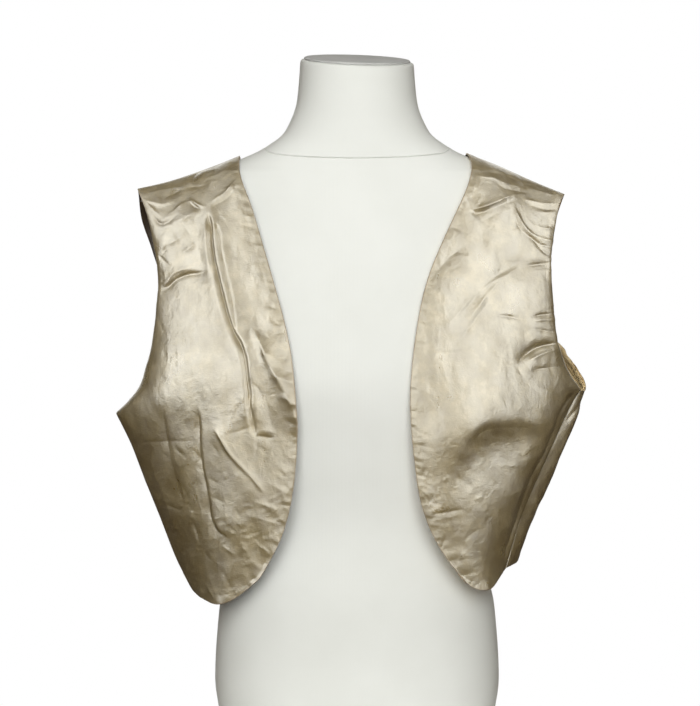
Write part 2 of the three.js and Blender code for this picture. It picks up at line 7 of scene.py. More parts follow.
import bpy
import numpy as np
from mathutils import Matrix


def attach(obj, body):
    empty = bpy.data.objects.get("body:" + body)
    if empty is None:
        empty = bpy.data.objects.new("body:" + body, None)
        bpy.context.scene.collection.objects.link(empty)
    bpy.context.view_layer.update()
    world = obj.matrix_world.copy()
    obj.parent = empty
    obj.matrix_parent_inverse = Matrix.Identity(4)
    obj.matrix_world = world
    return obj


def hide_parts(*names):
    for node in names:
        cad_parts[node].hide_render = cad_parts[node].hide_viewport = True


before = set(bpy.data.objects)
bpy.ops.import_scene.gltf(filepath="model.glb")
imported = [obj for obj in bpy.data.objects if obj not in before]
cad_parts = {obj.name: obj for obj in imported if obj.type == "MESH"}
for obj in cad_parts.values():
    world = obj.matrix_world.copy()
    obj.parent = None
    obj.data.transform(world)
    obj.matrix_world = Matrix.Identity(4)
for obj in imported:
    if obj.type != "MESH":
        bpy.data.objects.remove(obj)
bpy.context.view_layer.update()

# ---- Sizes ---------------------------------------------------------------------------

MM = 0.001             # in metres

CLOTH_HALF = 0.6       # half the cloth's thickness, with its interlining
REST_MARGIN = 2.6      # middle of the cloth to the form, where it rests
EDGE_MARGIN = 1.5      # the same, along the edges
LEAST_MARGIN = 1.0     # the same, at the bottom of the deepest crease
MARGIN_RUN = 14        # from an edge to where the cloth rests
LEAVING_RADIUS = 14.0  # how gently the cloth leaves the form
SHOULDER_ROLL = 8.0    # how far it rolls out just below the shoulder seam
SHOULDER_ROLL_SHARE = 0.03
EDGE_CURL = 0.12       # the fold of the bagged edge stands up this much
SEAM_SINK = 0.5        # how deep a seam lies
UNDERARM = 0.43        # share of a piece's height at which the side seam ends
SHOULDER_SHARE = 15 / 40   # share of the back's top edge that each shoulder takes
BACK_LOCALNESS = 3     # how near its side edges the back takes their shape
FRONT_SPAN = (170, 470)    # a front's size across and up, and the lines of its mesh
FRONT_LINES = (170, 430)
BACK_SPAN = (640, 480)
BACK_LINES = (320, 230)
INNER_REACH = 3        # mesh lines over which the inner face keeps below the outer one

NECK_SEAM_HEIGHT = 660.0
NECK_SEAM_SLOPE = 0.325
NECK_TOP_HEIGHT = 754.0
NECK_TOP_SLOPE = 0.205
NECK_TOP_LEAN = -0.035
JOINT_GAP = 0.3        # between the pieces of the form
BASE_ROUNDING = 6
FORM_SIDES = 192
FLOOR_RADIUS = 300
FLOOR_SIDES = 96

FORM_Z = (0, 43, 75, 154, 240, 320, 400, 450, 500, 560, 600, 618, 627, 636, 645, 655, 676, 712, 780)
FORM_HALF_WIDTH = (141, 152, 156, 151, 130, 148, 162, 165, 170, 178, 182, 178, 171, 150, 129, 107,
                   79.5, 66, 61)
FORM_MIDDLE = (4, 5, 5, 4, 2, 1, 1, 2, 4, 7, 8, 8, 9, 10, 11, 12, 12, 12, 12)
FORM_FRONT = (-87, -97, -100, -99, -88, -99, -112, -105, -92, -71, -56, -50.6, -48.2, -46.2, -45.1,
              -45, -45, -46, -45)
FORM_BACK = (92, 105, 109, 101, 78, 86, 98, 102, 104, 97, 86, 80, 76, 73, 71, 70, 69, 69, 68)
FORM_SQUARENESS = (2.35, 2.35, 2.35, 2.35, 2.3, 2.35, 2.4, 2.4, 2.35, 2.2, 2.1, 2.0, 1.9, 1.85,
                   1.85, 1.9, 1.95, 2.0, 2.0)

# Edges of the pieces as the cloth's middle surface, from hem to shoulder: x, y, z.

RIGHT = {
    "fullness": 1.6,
    "side_seam": [(-183, -4, 175), (-198, 2, 203), (-216, 4, 249), (-233, 5, 291), (-249, 5, 332),
                  (-265, 5, 365)],
    "front_armhole": [(-265, 5, 365), (-249, -12, 380), (-237, -22, 395), (-225, -32, 429),
                      (-219, -34, 467), (-216, -31, 505), (-220, -22, 544), (-231, -7, 588),
                      (-242, 6, 612)],
    "back_armhole": [(-265, 5, 365), (-247, 20, 381), (-233, 35, 403), (-222, 46, 435),
                     (-216, 51, 468), (-217, 50, 502), (-229, 40, 546), (-240, 26, 581),
                     (-242, 6, 612)],
    "shoulder": [(-242, 6, 612), (-205, 8, 621), (-164, 9, 635), (-129, 7, 648.5)],
    "front_edge": [(-103, -100, 192), (-81, -105, 232), (-69, -109, 276), (-63, -113, 335),
                   (-64, -114, 382), (-71, -107, 440), (-83, -94, 487), (-104, -68, 558),
                   (-116, -51, 597), (-127, -31, 622), (-129, 7, 648.5)],
    "front_hem": [(-183, -4, 175), (-178, -30, 171), (-168, -58, 167), (-148, -86, 163),
                  (-132, -93, 169), (-117, -97, 180), (-103, -100, 192)],
}

LEFT = {
    "fullness": 1.1,
    "side_seam": [(161, -40, 198), (169, -36, 224), (177, -32, 250), (208, -22, 320),
                  (236, -8, 377), (245, -3, 391)],
    "front_armhole": [(245, -3, 391), (230, -20, 413), (218, -30, 445), (213, -31, 483),
                      (211, -25, 530), (215, -12, 564), (223, 1, 597), (229, 7, 606)],
    "back_armhole": [(245, -3, 391), (251, 4, 389), (253, 12, 396), (240, 32, 422),
                     (222, 45, 445), (214, 50, 485), (217, 44, 533), (221, 29, 575),
                     (229, 7, 606)],
    "shoulder": [(229, 7, 606), (193, 9, 621), (155, 9, 638), (120, 8, 651.3)],
    "front_edge": [(111, -99, 192), (91, -104, 218), (70, -108, 260), (60, -113, 315),
                   (55, -115, 382), (60, -107, 440), (73, -88, 506), (102, -62, 574),
                   (119, -42, 610), (126, -18, 636), (120, 8, 651.3)],
    "front_hem": [(161, -40, 198), (155, -57, 191), (142, -83, 179), (130, -93, 179),
                  (120, -97, 184), (111, -99, 192)],
}

BACK_HEM = [(-183, -4, 175), (-180, 30, 179), (-158, 72, 185), (-110, 97, 190), (-50, 107, 193),
            (0, 109, 194), (60, 108, 195), (120, 97, 197), (162, 66, 200), (179, 25, 203),
            (178, -5, 203), (161, -40, 198)]

NECKLINE = [(-129, 7, 648.5), (-132, 20, 641), (-124, 36, 640), (-104, 47, 648), (-73, 61, 653),
            (-38, 71, 652), (0, 75, 652), (38, 71, 652), (73, 61, 653), (104, 47, 648),
            (116, 36, 641), (123, 20, 642), (120, 8, 651.3)]

# How far the cloth stands out between its edges, by share of the height: a front near the
# side and over the chest, the back at both wings and the spine, and its roll to the left side.
FRONT_HEIGHT = (0, 0.1, 0.2, 0.43, 0.7, 0.88, 1)
FRONT_WING = (-4, 3, 8, 12, 6, 4, 0)
FRONT_CHEST = (-4, 3, 8, 8, 4, 4, 0)
BACK_HEIGHT = (0, 0.1, 0.2, 0.35, 0.43, 0.5, 0.7, 0.88, 1)
BACK_RIGHT_WING = (0, 6, 12, 18, 18, 16, 12, 6, 0)
BACK_SPINE = (0, 2, 6, 8, 10, 10, 10, 6, 0)
BACK_LEFT_WING = (0, 6, 12, 16, 16, 14, 10, 6, 0)
BACK_LEFT_ROLL = (0, 8, 15, 20, 14, 4, 0, 0, 0)

# Broad folds and creases, placed one by one: rise, width to the left and to the right of
# the way they run, and the x, z points they run through. Seen from the front, left of one
# that runs down is the wearer's left.
RIGHT_FOLDS = [
    (4.5, 15, 12, [(-160, 590), (-155, 545), (-148, 508), (-136, 465), (-123, 436), (-116, 405),
                   (-114, 377), (-107, 345)]),
    (-1.2, 12, 12, [(-165, 405), (-159, 330), (-152, 280), (-147, 238)]),
    (2.0, 12, 12, [(-156, 368), (-128, 315), (-98, 266)]),
    (-1.2, 10, 10, [(-226, 490), (-190, 508), (-150, 522)]),
    (1.2, 12, 12, [(-226, 546), (-195, 562), (-162, 577)]),
]
LEFT_FOLDS = [
    (-2.0, 10, 10, [(92, 458), (120, 490), (150, 514), (192, 538)]),
    (-1.6, 9, 9, [(160, 511), (196, 523), (226, 528)]),
    (-1.8, 12, 10, [(150, 412), (190, 433), (226, 444)]),
    (11.0, 46, 16, [(92, 286), (102, 321), (116, 347), (138, 361), (170, 362), (204, 357),
                    (236, 348)]),
    (6.0, 8, 26, [(240, 410), (212, 357), (197, 326), (179, 292), (163, 252), (145, 200)]),
]
BACK_FOLDS = [
    (4.0, 14, 18, [(-180, 530), (-166, 430), (-148, 320)]),
    (4.0, 18, 14, [(178, 525), (166, 420), (150, 310)]),
    (-2.6, 16, 20, [(-120, 302), (-20, 290), (80, 274)]),
    (5.0, 15, 15, [(92, 345), (104, 280), (113, 210)]),
]

RIGHT_CREASES = [
    # The shoulder, where the band over the top breaks into the drape
    (1.3, 5, 1.8, [(-238, 601), (-226, 596), (-213, 593), (-203, 595), (-192, 601), (-184, 603)]),
    (1.2, 1.6, 3.5, [(-236, 601), (-223, 588), (-210, 578)]),
    (1.2, 1.6, 3.5, [(-210, 578), (-200, 584), (-189, 593), (-177, 597)]),
    (-1.6, 2, 4, [(-228, 588), (-214, 572), (-204, 574), (-192, 583)]),
    (1.4, 1.8, 1.6, [(-185, 600), (-176, 594), (-169, 590), (-161, 591)]),
    (-1.7, 1.6, 4, [(-183, 595), (-174, 589), (-164, 586)]),
    (1.2, 1.6, 4, [(-163, 591), (-151, 599), (-142, 605), (-133, 616), (-127, 624)]),
    (-1.7, 2, 6, [(-160, 586), (-150, 593), (-140, 600), (-131, 611)]),
    (-0.9, 4, 7, [(-226, 564), (-207, 567), (-191, 573), (-171, 579), (-163, 585)]),
    (0.6, 4, 6, [(-224, 574), (-208, 577), (-194, 583)]),
    # The pleat that hangs from the form's shoulder point
    (-4.9, 1.2, 2.1, [(-161, 584), (-158, 565), (-157, 549), (-154, 530), (-149, 511), (-144, 492),
                      (-137, 468), (-131, 453), (-124, 441), (-119, 427), (-117, 413), (-115, 397),
                      (-114, 390), (-114, 377), (-111, 362), (-107, 340)]),
    (-1.6, 1.1, 1.4, [(-153, 574), (-148, 559), (-146, 543), (-142, 525), (-139, 510),
                      (-134, 492), (-131, 473), (-128, 452)]),
    (0.9, 2, 4, [(-164, 574), (-163, 553), (-161, 535), (-158, 514)]),
    (-0.6, 1.5, 2, [(-107, 342), (-106, 331), (-107, 314)]),
    (-1.0, 1.5, 3, [(-115, 407), (-111, 400), (-105, 394), (-99, 383)]),
    (-1.6, 1.5, 3, [(-110, 344), (-99, 343), (-86, 341)]),
    (0.9, 2, 3, [(-105, 349), (-94, 349), (-84, 346)]),
    (-0.5, 1.4, 2, [(-145, 344), (-130, 347), (-113, 352), (-108, 349)]),
    # The armhole's pulls
    (-0.9, 5, 7, [(-214, 582), (-200, 566), (-188, 546), (-178, 528)]),
    (-0.8, 4, 6, [(-192, 574), (-180, 558), (-170, 540), (-166, 524)]),
    (2.2, 9, 5, [(-222, 564), (-202, 570), (-182, 579), (-162, 592)]),
    (1.8, 8, 5, [(-218, 545), (-200, 551), (-182, 562)]),
    (1.4, 8, 4, [(-196, 536), (-182, 543), (-168, 556)]),
    (-1.0, 4, 6, [(-217, 530), (-206, 547), (-202, 566)]),
    (-2.2, 1.6, 4, [(-217, 497), (-205, 503), (-195, 511), (-182, 516), (-170, 517), (-158, 519)]),
    (0.9, 3, 1.6, [(-217, 512), (-208, 506), (-198, 517), (-182, 522), (-166, 523)]),
    (-0.8, 1.5, 3, [(-218, 540), (-209, 531), (-200, 524)]),
    (-0.5, 2, 3, [(-216, 521), (-208, 516)]),
    # Fold lines from storage
    (-0.35, 2, 5, [(-222, 432), (-196, 431), (-168, 432), (-140, 431)]),
    (-0.4, 1.6, 3, [(-240, 334), (-196, 337), (-171, 338)]),
    # The wave and the dents along the front edge
    (6.8, 15, 9.5, [(-113, 460), (-103, 443), (-92, 419), (-79, 397), (-68, 374), (-60, 348),
                    (-57, 332)]),
    (2.2, 9, 5, [(-104, 430), (-92, 428), (-78, 420)]),
    (2.6, 9, 5, [(-96, 410), (-80, 405), (-60, 394)]),
    (2.2, 9, 5, [(-86, 386), (-72, 382), (-58, 370)]),
    (-0.7, 2, 3, [(-98, 484), (-86, 478)]),
    (-0.8, 2, 3, [(-94, 468), (-80, 460)]),
    (-0.7, 2, 3, [(-90, 424), (-70, 426)]),
    # The hook and the slant beside it
    (-2.2, 1.4, 12, [(-172, 379), (-169, 361), (-168, 336), (-165, 308), (-159, 280), (-156, 256),
                    (-149, 242), (-137, 236), (-126, 239)]),
    (0.3, 3, 3, [(-177, 295), (-170, 274), (-165, 253), (-162, 242)]),
    (0.3, 3, 3, [(-164, 244), (-153, 234), (-137, 232)]),
    (1.8, 1.4, 1.6, [(-153, 353), (-144, 341), (-135, 325), (-125, 314), (-111, 300), (-97, 282)]),
    (-0.7, 1.6, 3, [(-146, 337), (-136, 322), (-125, 309), (-113, 296)]),
    # The side, which hangs in soft upright folds
    (-0.7, 4, 6, [(-244, 361), (-236, 339), (-226, 322)]),
    (-1.1, 2.5, 7, [(-209, 372), (-204, 335), (-198, 307), (-190, 278), (-183, 256)]),
    (0.8, 6, 4, [(-226, 326), (-217, 293), (-206, 266), (-197, 239)]),
    (-0.9, 1.6, 3, [(-211, 268), (-196, 263), (-183, 259)]),
    (-1.0, 1.8, 2, [(-183, 258), (-176, 248), (-172, 237), (-170, 225)]),
    (0.6, 2, 3, [(-174, 266), (-179, 252), (-180, 241)]),
    (0.6, 2, 3, [(-149, 228), (-135, 221), (-124, 212)]),
    # The band over the shoulder
    (0.7, 2, 2.5, [(-232, 605), (-206, 611), (-180, 612)]),
    (-0.6, 2, 3, [(-212, 604), (-184, 612), (-158, 613)]),
    (0.6, 2, 3, [(-176, 621), (-158, 624), (-138, 634)]),
    # Slants that run down to the front edge, and the hem's own folds
    (0.7, 1.8, 3, [(-114, 276), (-101, 272), (-88, 268), (-77, 261)]),
    (0.6, 1.8, 3, [(-117, 261), (-101, 256), (-87, 252), (-75, 248)]),
    (0.6, 1.8, 3, [(-97, 296), (-85, 290), (-72, 281)]),
    (0.6, 1.8, 3, [(-111, 232), (-100, 225), (-88, 216)]),
    (0.5, 2, 3, [(-126, 227), (-113, 220)]),
    (0.6, 3, 4, [(-159, 197), (-154, 183), (-148, 168)]),
    (-0.6, 3, 4, [(-147, 205), (-138, 191), (-132, 174)]),
    (-0.5, 4, 5, [(-173, 209), (-169, 192), (-163, 172)]),
]

LEFT_CREASES = [
    # The shoulder's cross folds
    (0.9, 3, 1.6, [(122, 626), (135, 622), (148, 621), (160, 616), (174, 613), (186, 611)]),
    (-1.0, 1.8, 5, [(133, 617), (149, 615), (162, 610), (178, 607), (194, 606)]),
    (0.8, 2, 2, [(186, 613), (200, 608), (222, 603)]),
    (1.8, 4, 1.6, [(116, 586), (128, 587), (137, 589), (152, 595), (163, 600), (177, 604),
                   (188, 606)]),
    (-1.2, 1.6, 4, [(119, 581), (137, 584), (152, 590), (163, 595), (175, 598)]),
    (1.3, 2, 1.5, [(178, 600), (192, 596), (204, 594), (222, 595)]),
    (-0.9, 1.5, 2, [(184, 594), (196, 590), (207, 588), (222, 589)]),
    (1.0, 2, 1.5, [(193, 586), (206, 584), (222, 586)]),
    (0.6, 2, 2.5, [(140, 634), (166, 626), (196, 616)]),
    (-0.5, 2, 2.5, [(132, 628), (158, 626), (184, 617), (210, 610)]),
    # The peak under the form's shoulder point
    (-0.8, 5, 7, [(163, 588), (146, 579), (130, 571)]),
    (1.4, 1.6, 3, [(168, 594), (176, 576), (186, 563), (199, 556), (218, 553)]),
    (-1.4, 1.6, 3, [(170, 583), (177, 566), (189, 556), (200, 549), (216, 546)]),
    (1.0, 2, 2, [(182, 581), (190, 571), (202, 567), (219, 567)]),
    (-0.9, 1.8, 2, [(190, 558), (198, 546), (208, 538), (218, 536)]),
    # The armhole's wedges and pulls
    (-1.5, 4, 1.8, [(176, 523), (190, 526), (217, 530)]),
    (0.8, 1.6, 5, [(180, 517), (194, 520), (216, 521)]),
    (-1.2, 1.4, 2, [(143, 473), (153, 471), (166, 470), (179, 466)]),
    (-1.3, 1.8, 1.4, [(184, 469), (198, 472), (218, 474)]),
    (1.0, 1.5, 2, [(187, 465), (200, 467), (218, 468)]),
    (-0.9, 2.5, 2, [(175, 449), (187, 456), (200, 456), (219, 451)]),
    (-3.2, 4, 1.8, [(168, 419), (183, 430), (195, 437), (223, 443)]),
    (1.6, 1.8, 5, [(177, 418), (190, 426), (204, 432), (224, 437)]),
    (-1.5, 3.5, 3.5, [(182, 411), (197, 414), (226, 417)]),
    (-0.8, 2, 2, [(170, 420), (174, 411), (179, 404)]),
    # The long soft slants over the chest
    (-1.8, 6, 9, [(112, 612), (122, 590), (138, 572), (160, 560)]),
    (-1.4, 6, 8, [(86, 560), (104, 566), (126, 556), (150, 548)]),
    (-1.3, 7, 9, [(70, 505), (86, 520), (104, 538), (124, 548)]),
    (1.2, 9, 5, [(84, 452), (104, 470), (124, 492), (146, 508), (170, 520)]),
    (-0.9, 5, 7, [(184, 536), (166, 524), (146, 512), (132, 500), (120, 484), (104, 468)]),
    (0.9, 4, 3, [(180, 527), (160, 514), (141, 496), (127, 478), (114, 460)]),
    (-0.8, 3, 4, [(145, 492), (131, 474), (120, 459), (106, 441)]),
    # A fold line from storage
    (-0.35, 2, 5, [(60, 432), (87, 431), (120, 433), (152, 432)]),
    # The drop below the bust
    (-0.8, 4, 5, [(118, 332), (130, 346), (144, 351), (160, 352), (190, 350)]),
    (0.8, 6, 6, [(184, 397), (203, 391), (221, 380)]),
    # The valley in front of the side seam
    (-2.6, 1.5, 4.5, [(242, 393), (234, 383), (222, 366), (217, 351), (209, 332), (199, 313),
                    (191, 299), (181, 273), (174, 251), (166, 230), (158, 206)]),
    # The long edge crease and the slack lower middle
    (-0.5, 1.3, 2, [(73, 260), (99, 264), (115, 267)]),
    (0.25, 2, 2, [(77, 254), (98, 258), (115, 263)]),
]

# On the strip of the back that shows from the front, past the left side seam.
STRIP_CREASES = [
    (-1.2, 2, 3, [(254, 386), (245, 374), (236, 364), (222, 350)]),
    (-1.0, 3, 4, [(236, 352), (224, 330), (213, 303)]),
    (1.0, 3, 3, [(223, 319), (212, 292), (201, 264), (190, 237)]),
    (-0.8, 3, 3, [(209, 281), (198, 254), (185, 221)]),
]

BACK_CREASES = [
    # Drags from the shoulder points, deeper on the right
    (-1.8, 4, 8, [(-196, 606), (-176, 588), (-150, 575), (-118, 566)]),
    (1.3, 3, 5, [(-200, 594), (-184, 574), (-168, 548), (-160, 512)]),
    (-1.3, 4, 6, [(186, 604), (168, 586), (140, 574), (104, 570)]),
    (1.4, 5, 3, [(196, 590), (182, 566), (170, 540), (166, 500)]),
    (-1.6, 3, 6, [(-176, 560), (-163, 520), (-156, 470), (-152, 420), (-154, 372)]),
    (-1.4, 6, 3, [(170, 552), (160, 500), (156, 450), (148, 400), (150, 360)]),
    # Pulls at the armholes
    (-1.6, 3, 4, [(-222, 520), (-200, 514), (-176, 520)]),
    (1.1, 3, 3, [(-222, 508), (-204, 504), (-186, 508)]),
    (-1.4, 3, 4, [(-226, 440), (-204, 436), (-180, 446)]),
    (-1.8, 4, 3, [(220, 500), (200, 498), (178, 508)]),
    (1.0, 3, 3, [(220, 486), (202, 486), (186, 492)]),
    (-1.3, 3, 4, [(228, 430), (206, 432), (186, 444)]),
    # Under the neckline
    (-1.1, 3, 5, [(-70, 636), (-30, 626), (18, 626), (62, 634)]),
    (0.8, 4, 4, [(-84, 622), (-40, 610), (10, 609)]),
    # Fold lines from storage
    (-0.6, 2.5, 6, [(-200, 432), (-110, 433), (10, 431), (120, 433), (200, 432)]),
    (-0.6, 2.5, 3, [(-200, 336), (-80, 338), (60, 335), (190, 338)]),
    (0.6, 3, 3, [(2, 630), (0, 520), (3, 400), (1, 300), (2, 205)]),
    # The waist's drag and the slack over the hem
    (-1.9, 8, 6, [(-150, 330), (-96, 308), (-30, 296), (40, 290), (96, 300)]),
    (1.3, 7, 6, [(-120, 344), (-60, 322), (10, 312)]),
    (-1.6, 5, 7, [(-130, 290), (-118, 250), (-122, 205)]),
    (1.3, 6, 6, [(-84, 282), (-78, 240), (-84, 200)]),
    (-1.4, 6, 5, [(70, 300), (84, 256), (82, 210)]),
    (1.4, 6, 6, [(122, 306), (126, 256), (130, 214)]),
    (-1.1, 3, 4, [(-20, 270), (16, 262), (44, 250)]),
    (1.0, 3, 3, [(-40, 400), (-8, 388), (24, 384)]),
    (-1.1, 4, 5, [(-104, 500), (-70, 480), (-48, 450)]),
    (-1.0, 4, 5, [(96, 510), (72, 480), (62, 448)]),
]

# Small creases strewn over a front: how many, between which heights, their heading and its
# spread in degrees (mirrored on the left front), and the ranges of length, width and rise.
FRONT_STREWN = [
    (30, (430, 600), -35, 30, (12, 34), (1.3, 2.6), (0.1, 0.35)),
    (16, (330, 430), -70, 20, (16, 44), (1.3, 2.8), (0.05, 0.2)),
    (60, (170, 330), -58, 28, (10, 34), (1.2, 2.2), (0.18, 0.5)),
    (22, (600, 645), 16, 16, (12, 36), (1.3, 2.4), (0.3, 0.8)),
]


# ---- Curves, columns and noise -------------------------------------------------------

def smoothstep(low, high, value):
    share = np.clip((value - low) / (high - low), 0, 1)
    return share * share * (3 - 2 * share)


def column(rows, values, at):
    """A smooth curve through a table's column that never overshoots between its rows."""
    rows, values, at = np.asarray(rows, float), np.asarray(values, float), np.asarray(at, float)
    slope = np.diff(values) / np.diff(rows)
    product = slope[:-1] * slope[1:]
    total = slope[:-1] + slope[1:]
    inner = np.where(product > 0, 2 * product / np.where(total == 0, 1, total), 0)
    tangent = np.concatenate([slope[:1], inner, slope[-1:]])
    at = np.clip(at, rows[0], rows[-1])
    i = np.clip(np.searchsorted(rows, at, side="right") - 1, 0, len(rows) - 2)
    span = rows[i + 1] - rows[i]
    u = (at - rows[i]) / span
    rise = values[i + 1] - values[i]
    start, end = tangent[i] * span, tangent[i + 1] * span
    return (values[i] + u * start + u * u * (3 * rise - 2 * start - end)
            + u * u * u * (start + end - 2 * rise))


def smooth_line(points, per_segment):
    """Points along the centripetal curve through the given points."""
    points = np.asarray(points, float)
    control = np.vstack([2 * points[0] - points[1], points, 2 * points[-1] - points[-2]])
    u = np.linspace(0, 1, per_segment, endpoint=False)[:, None]
    line = []
    for i in range(len(points) - 1):
        p0, p1, p2, p3 = control[i:i + 4]
        gap0, gap1, gap2 = (max(np.linalg.norm(b - a) ** 0.5, 1e-3)
                            for a, b in ((p0, p1), (p1, p2), (p2, p3)))
        tangent1 = ((p1 - p0) / gap0 - (p2 - p0) / (gap0 + gap1) + (p2 - p1) / gap1) * gap1
        tangent2 = ((p2 - p1) / gap1 - (p3 - p1) / (gap1 + gap2) + (p3 - p2) / gap2) * gap1
        line.append(p1 + u * tangent1 + u**2 * (3 * (p2 - p1) - 2 * tangent1 - tangent2)
                    + u**3 * (2 * (p1 - p2) + tangent1 + tangent2))
    return np.vstack(line + [points[-1:]])


def curve_through(points):
    """A smooth curve through points, as a function of the share of its length."""
    line = smooth_line(points, 50)
    length = np.concatenate([[0], np.cumsum(np.linalg.norm(np.diff(line, axis=0), axis=1))])
    length /= length[-1]
    return lambda share: np.stack([np.interp(share, length, line[:, k]) for k in range(3)], -1)


def hump(share, peak, sharpness):
    """Zero at both ends of 0..1 and one at the peak."""
    rising = np.power(np.clip(share / peak, 0, None), sharpness * peak)
    falling = np.power(np.clip((1 - share) / (1 - peak), 0, None), sharpness * (1 - peak))
    return rising * falling


def smooth_larger(a, b, radius):
    closeness = np.maximum(radius - np.abs(a - b), 0) / radius
    return np.maximum(a, b) + closeness**2 * radius / 4


def noise(x, z, size, seed):
    """Smooth values in -1..1, in lumps of about the given size."""
    lattice = np.random.default_rng(seed).uniform(-1, 1, (512, 512))
    u, v = x / size + 200.37, z / size + 200.61
    i, j = np.floor(u).astype(int) % 511, np.floor(v).astype(int) % 511
    f, g = u - np.floor(u), v - np.floor(v)
    f, g = f**3 * (f * (f * 6 - 15) + 10), g**3 * (g * (g * 6 - 15) + 10)
    low = lattice[i, j] * (1 - f) + lattice[i + 1, j] * f
    high = lattice[i, j + 1] * (1 - f) + lattice[i + 1, j + 1] * f
    return low * (1 - g) + high * g


# ---- The dress form ------------------------------------------------------------------

def form_point(angle, height, slope, lean=0.0, inset=0.0):
    """Points round the form, on a plane that slopes back and leans sideways."""
    angle, height = np.asarray(angle, float), np.asarray(height, float)
    z = height + 0 * angle
    for _ in range(12):
        power = 2 / column(FORM_Z, FORM_SQUARENESS, z)
        across = np.sign(np.cos(angle)) * np.abs(np.cos(angle)) ** power
        along = np.sign(np.sin(angle)) * np.abs(np.sin(angle)) ** power
        middle = column(FORM_Z, FORM_MIDDLE, z)
        depth = np.where(along < 0, middle - column(FORM_Z, FORM_FRONT, z),
                         column(FORM_Z, FORM_BACK, z) - middle)
        x = across * (column(FORM_Z, FORM_HALF_WIDTH, z) - inset)
        y = middle + along * (depth - inset)
        z = height + slope * (y - middle) + lean * x
    return np.stack([x, y, z], -1)


def form_depth(x, z, side, margin):
    """Depth of the form's surface, grown by a margin; far inside where x is beside it."""
    lift = smoothstep(540, 600, z)
    level = z - margin * lift
    width = column(FORM_Z, FORM_HALF_WIDTH, level) + margin
    squareness = column(FORM_Z, FORM_SQUARENESS, level)
    middle = column(FORM_Z, FORM_MIDDLE, level)
    if side < 0:
        reach = middle - column(FORM_Z, FORM_FRONT, level)
    else:
        reach = column(FORM_Z, FORM_BACK, level) - middle
    share = np.abs(x) / width
    across = np.power(1 - np.power(np.minimum(share, 1), squareness), 1 / squareness)
    depth = middle + side * (reach + margin) * across
    return np.where(share >= 1, -side * 1e4, depth)


# ---- The cloth's surfaces ------------------------------------------------------------
# s runs across a piece and t from its hem to its shoulder, both from 0 to 1.

def outer_edge(seam, armhole):
    def edge(t):
        low = seam(np.clip(t / UNDERARM, 0, 1))
        high = armhole(np.clip((t - UNDERARM) / (1 - UNDERARM), 0, 1))
        return np.where((t <= UNDERARM)[..., None], low, high)
    return edge


def blend_edges(start, end, bottom, top, s, t, localness):
    near_start, near_end = ((1 - s) ** localness)[..., None], (s**localness)[..., None]
    up = t[..., None]
    zero, one = np.zeros_like(t), np.ones_like(t)
    point = bottom(s) * (1 - up) + top(s) * up
    point = point + near_start * (start(t) - start(zero) * (1 - up) - start(one) * up)
    return point + near_end * (end(t) - end(zero) * (1 - up) - end(one) * up)


def relaxed(points, looseness, passes, axis):
    """Evens a surface out along one way of its grid, as far as each place is loose."""
    rows = np.moveaxis(points, axis, 0)
    loose = np.moveaxis(looseness, axis, 0)[1:-1, :, None] / 2
    for _ in range(passes):
        rows[1:-1] += loose * ((rows[:-2] + rows[2:]) / 2 - rows[1:-1])
    return points


def rest_on_form(point, side, stand_out, t, margin):
    """The cloth's depth: it stands out from its edges, and rests on the form where they meet."""
    below = np.clip((1 - t) / SHOULDER_ROLL_SHARE, 0, 1)
    roll = SHOULDER_ROLL * smoothstep(0.75, 0.95, t) * np.sqrt(1 - (1 - below) ** 2)
    free = side * point[..., 1] + stand_out + roll
    support = side * form_depth(point[..., 0], point[..., 2], side, margin)
    return side * np.where(t >= 1, free, smooth_larger(free, support, LEAVING_RADIUS))


def front_surface(pattern, folds, s, t, margin):
    point = blend_edges(
        outer_edge(curve_through(pattern["side_seam"]), curve_through(pattern["front_armhole"])),
        curve_through(pattern["front_edge"]), curve_through(pattern["front_hem"]),
        curve_through(pattern["shoulder"]), s, t, 1)
    inside = smoothstep(0, 0.12, s) * smoothstep(0, 0.08, t) * smoothstep(1, 0.92, t)
    point = relaxed(point, inside, 350, 1)
    wing = pattern["fullness"] * column(FRONT_HEIGHT, FRONT_WING, t) * hump(s, 0.2, 2.6)
    chest = column(FRONT_HEIGHT, FRONT_CHEST, t) * hump(s, 0.7, 3)
    fold = softened(crease_field(point[..., 0], point[..., 2], folds, 2.0), 24)
    fold = fold * (1 - smoothstep(0.9, 1, t)) * np.minimum(1, s / 0.06)
    point[..., 1] = rest_on_form(point, -1, wing + chest + fold, t, margin)
    return point


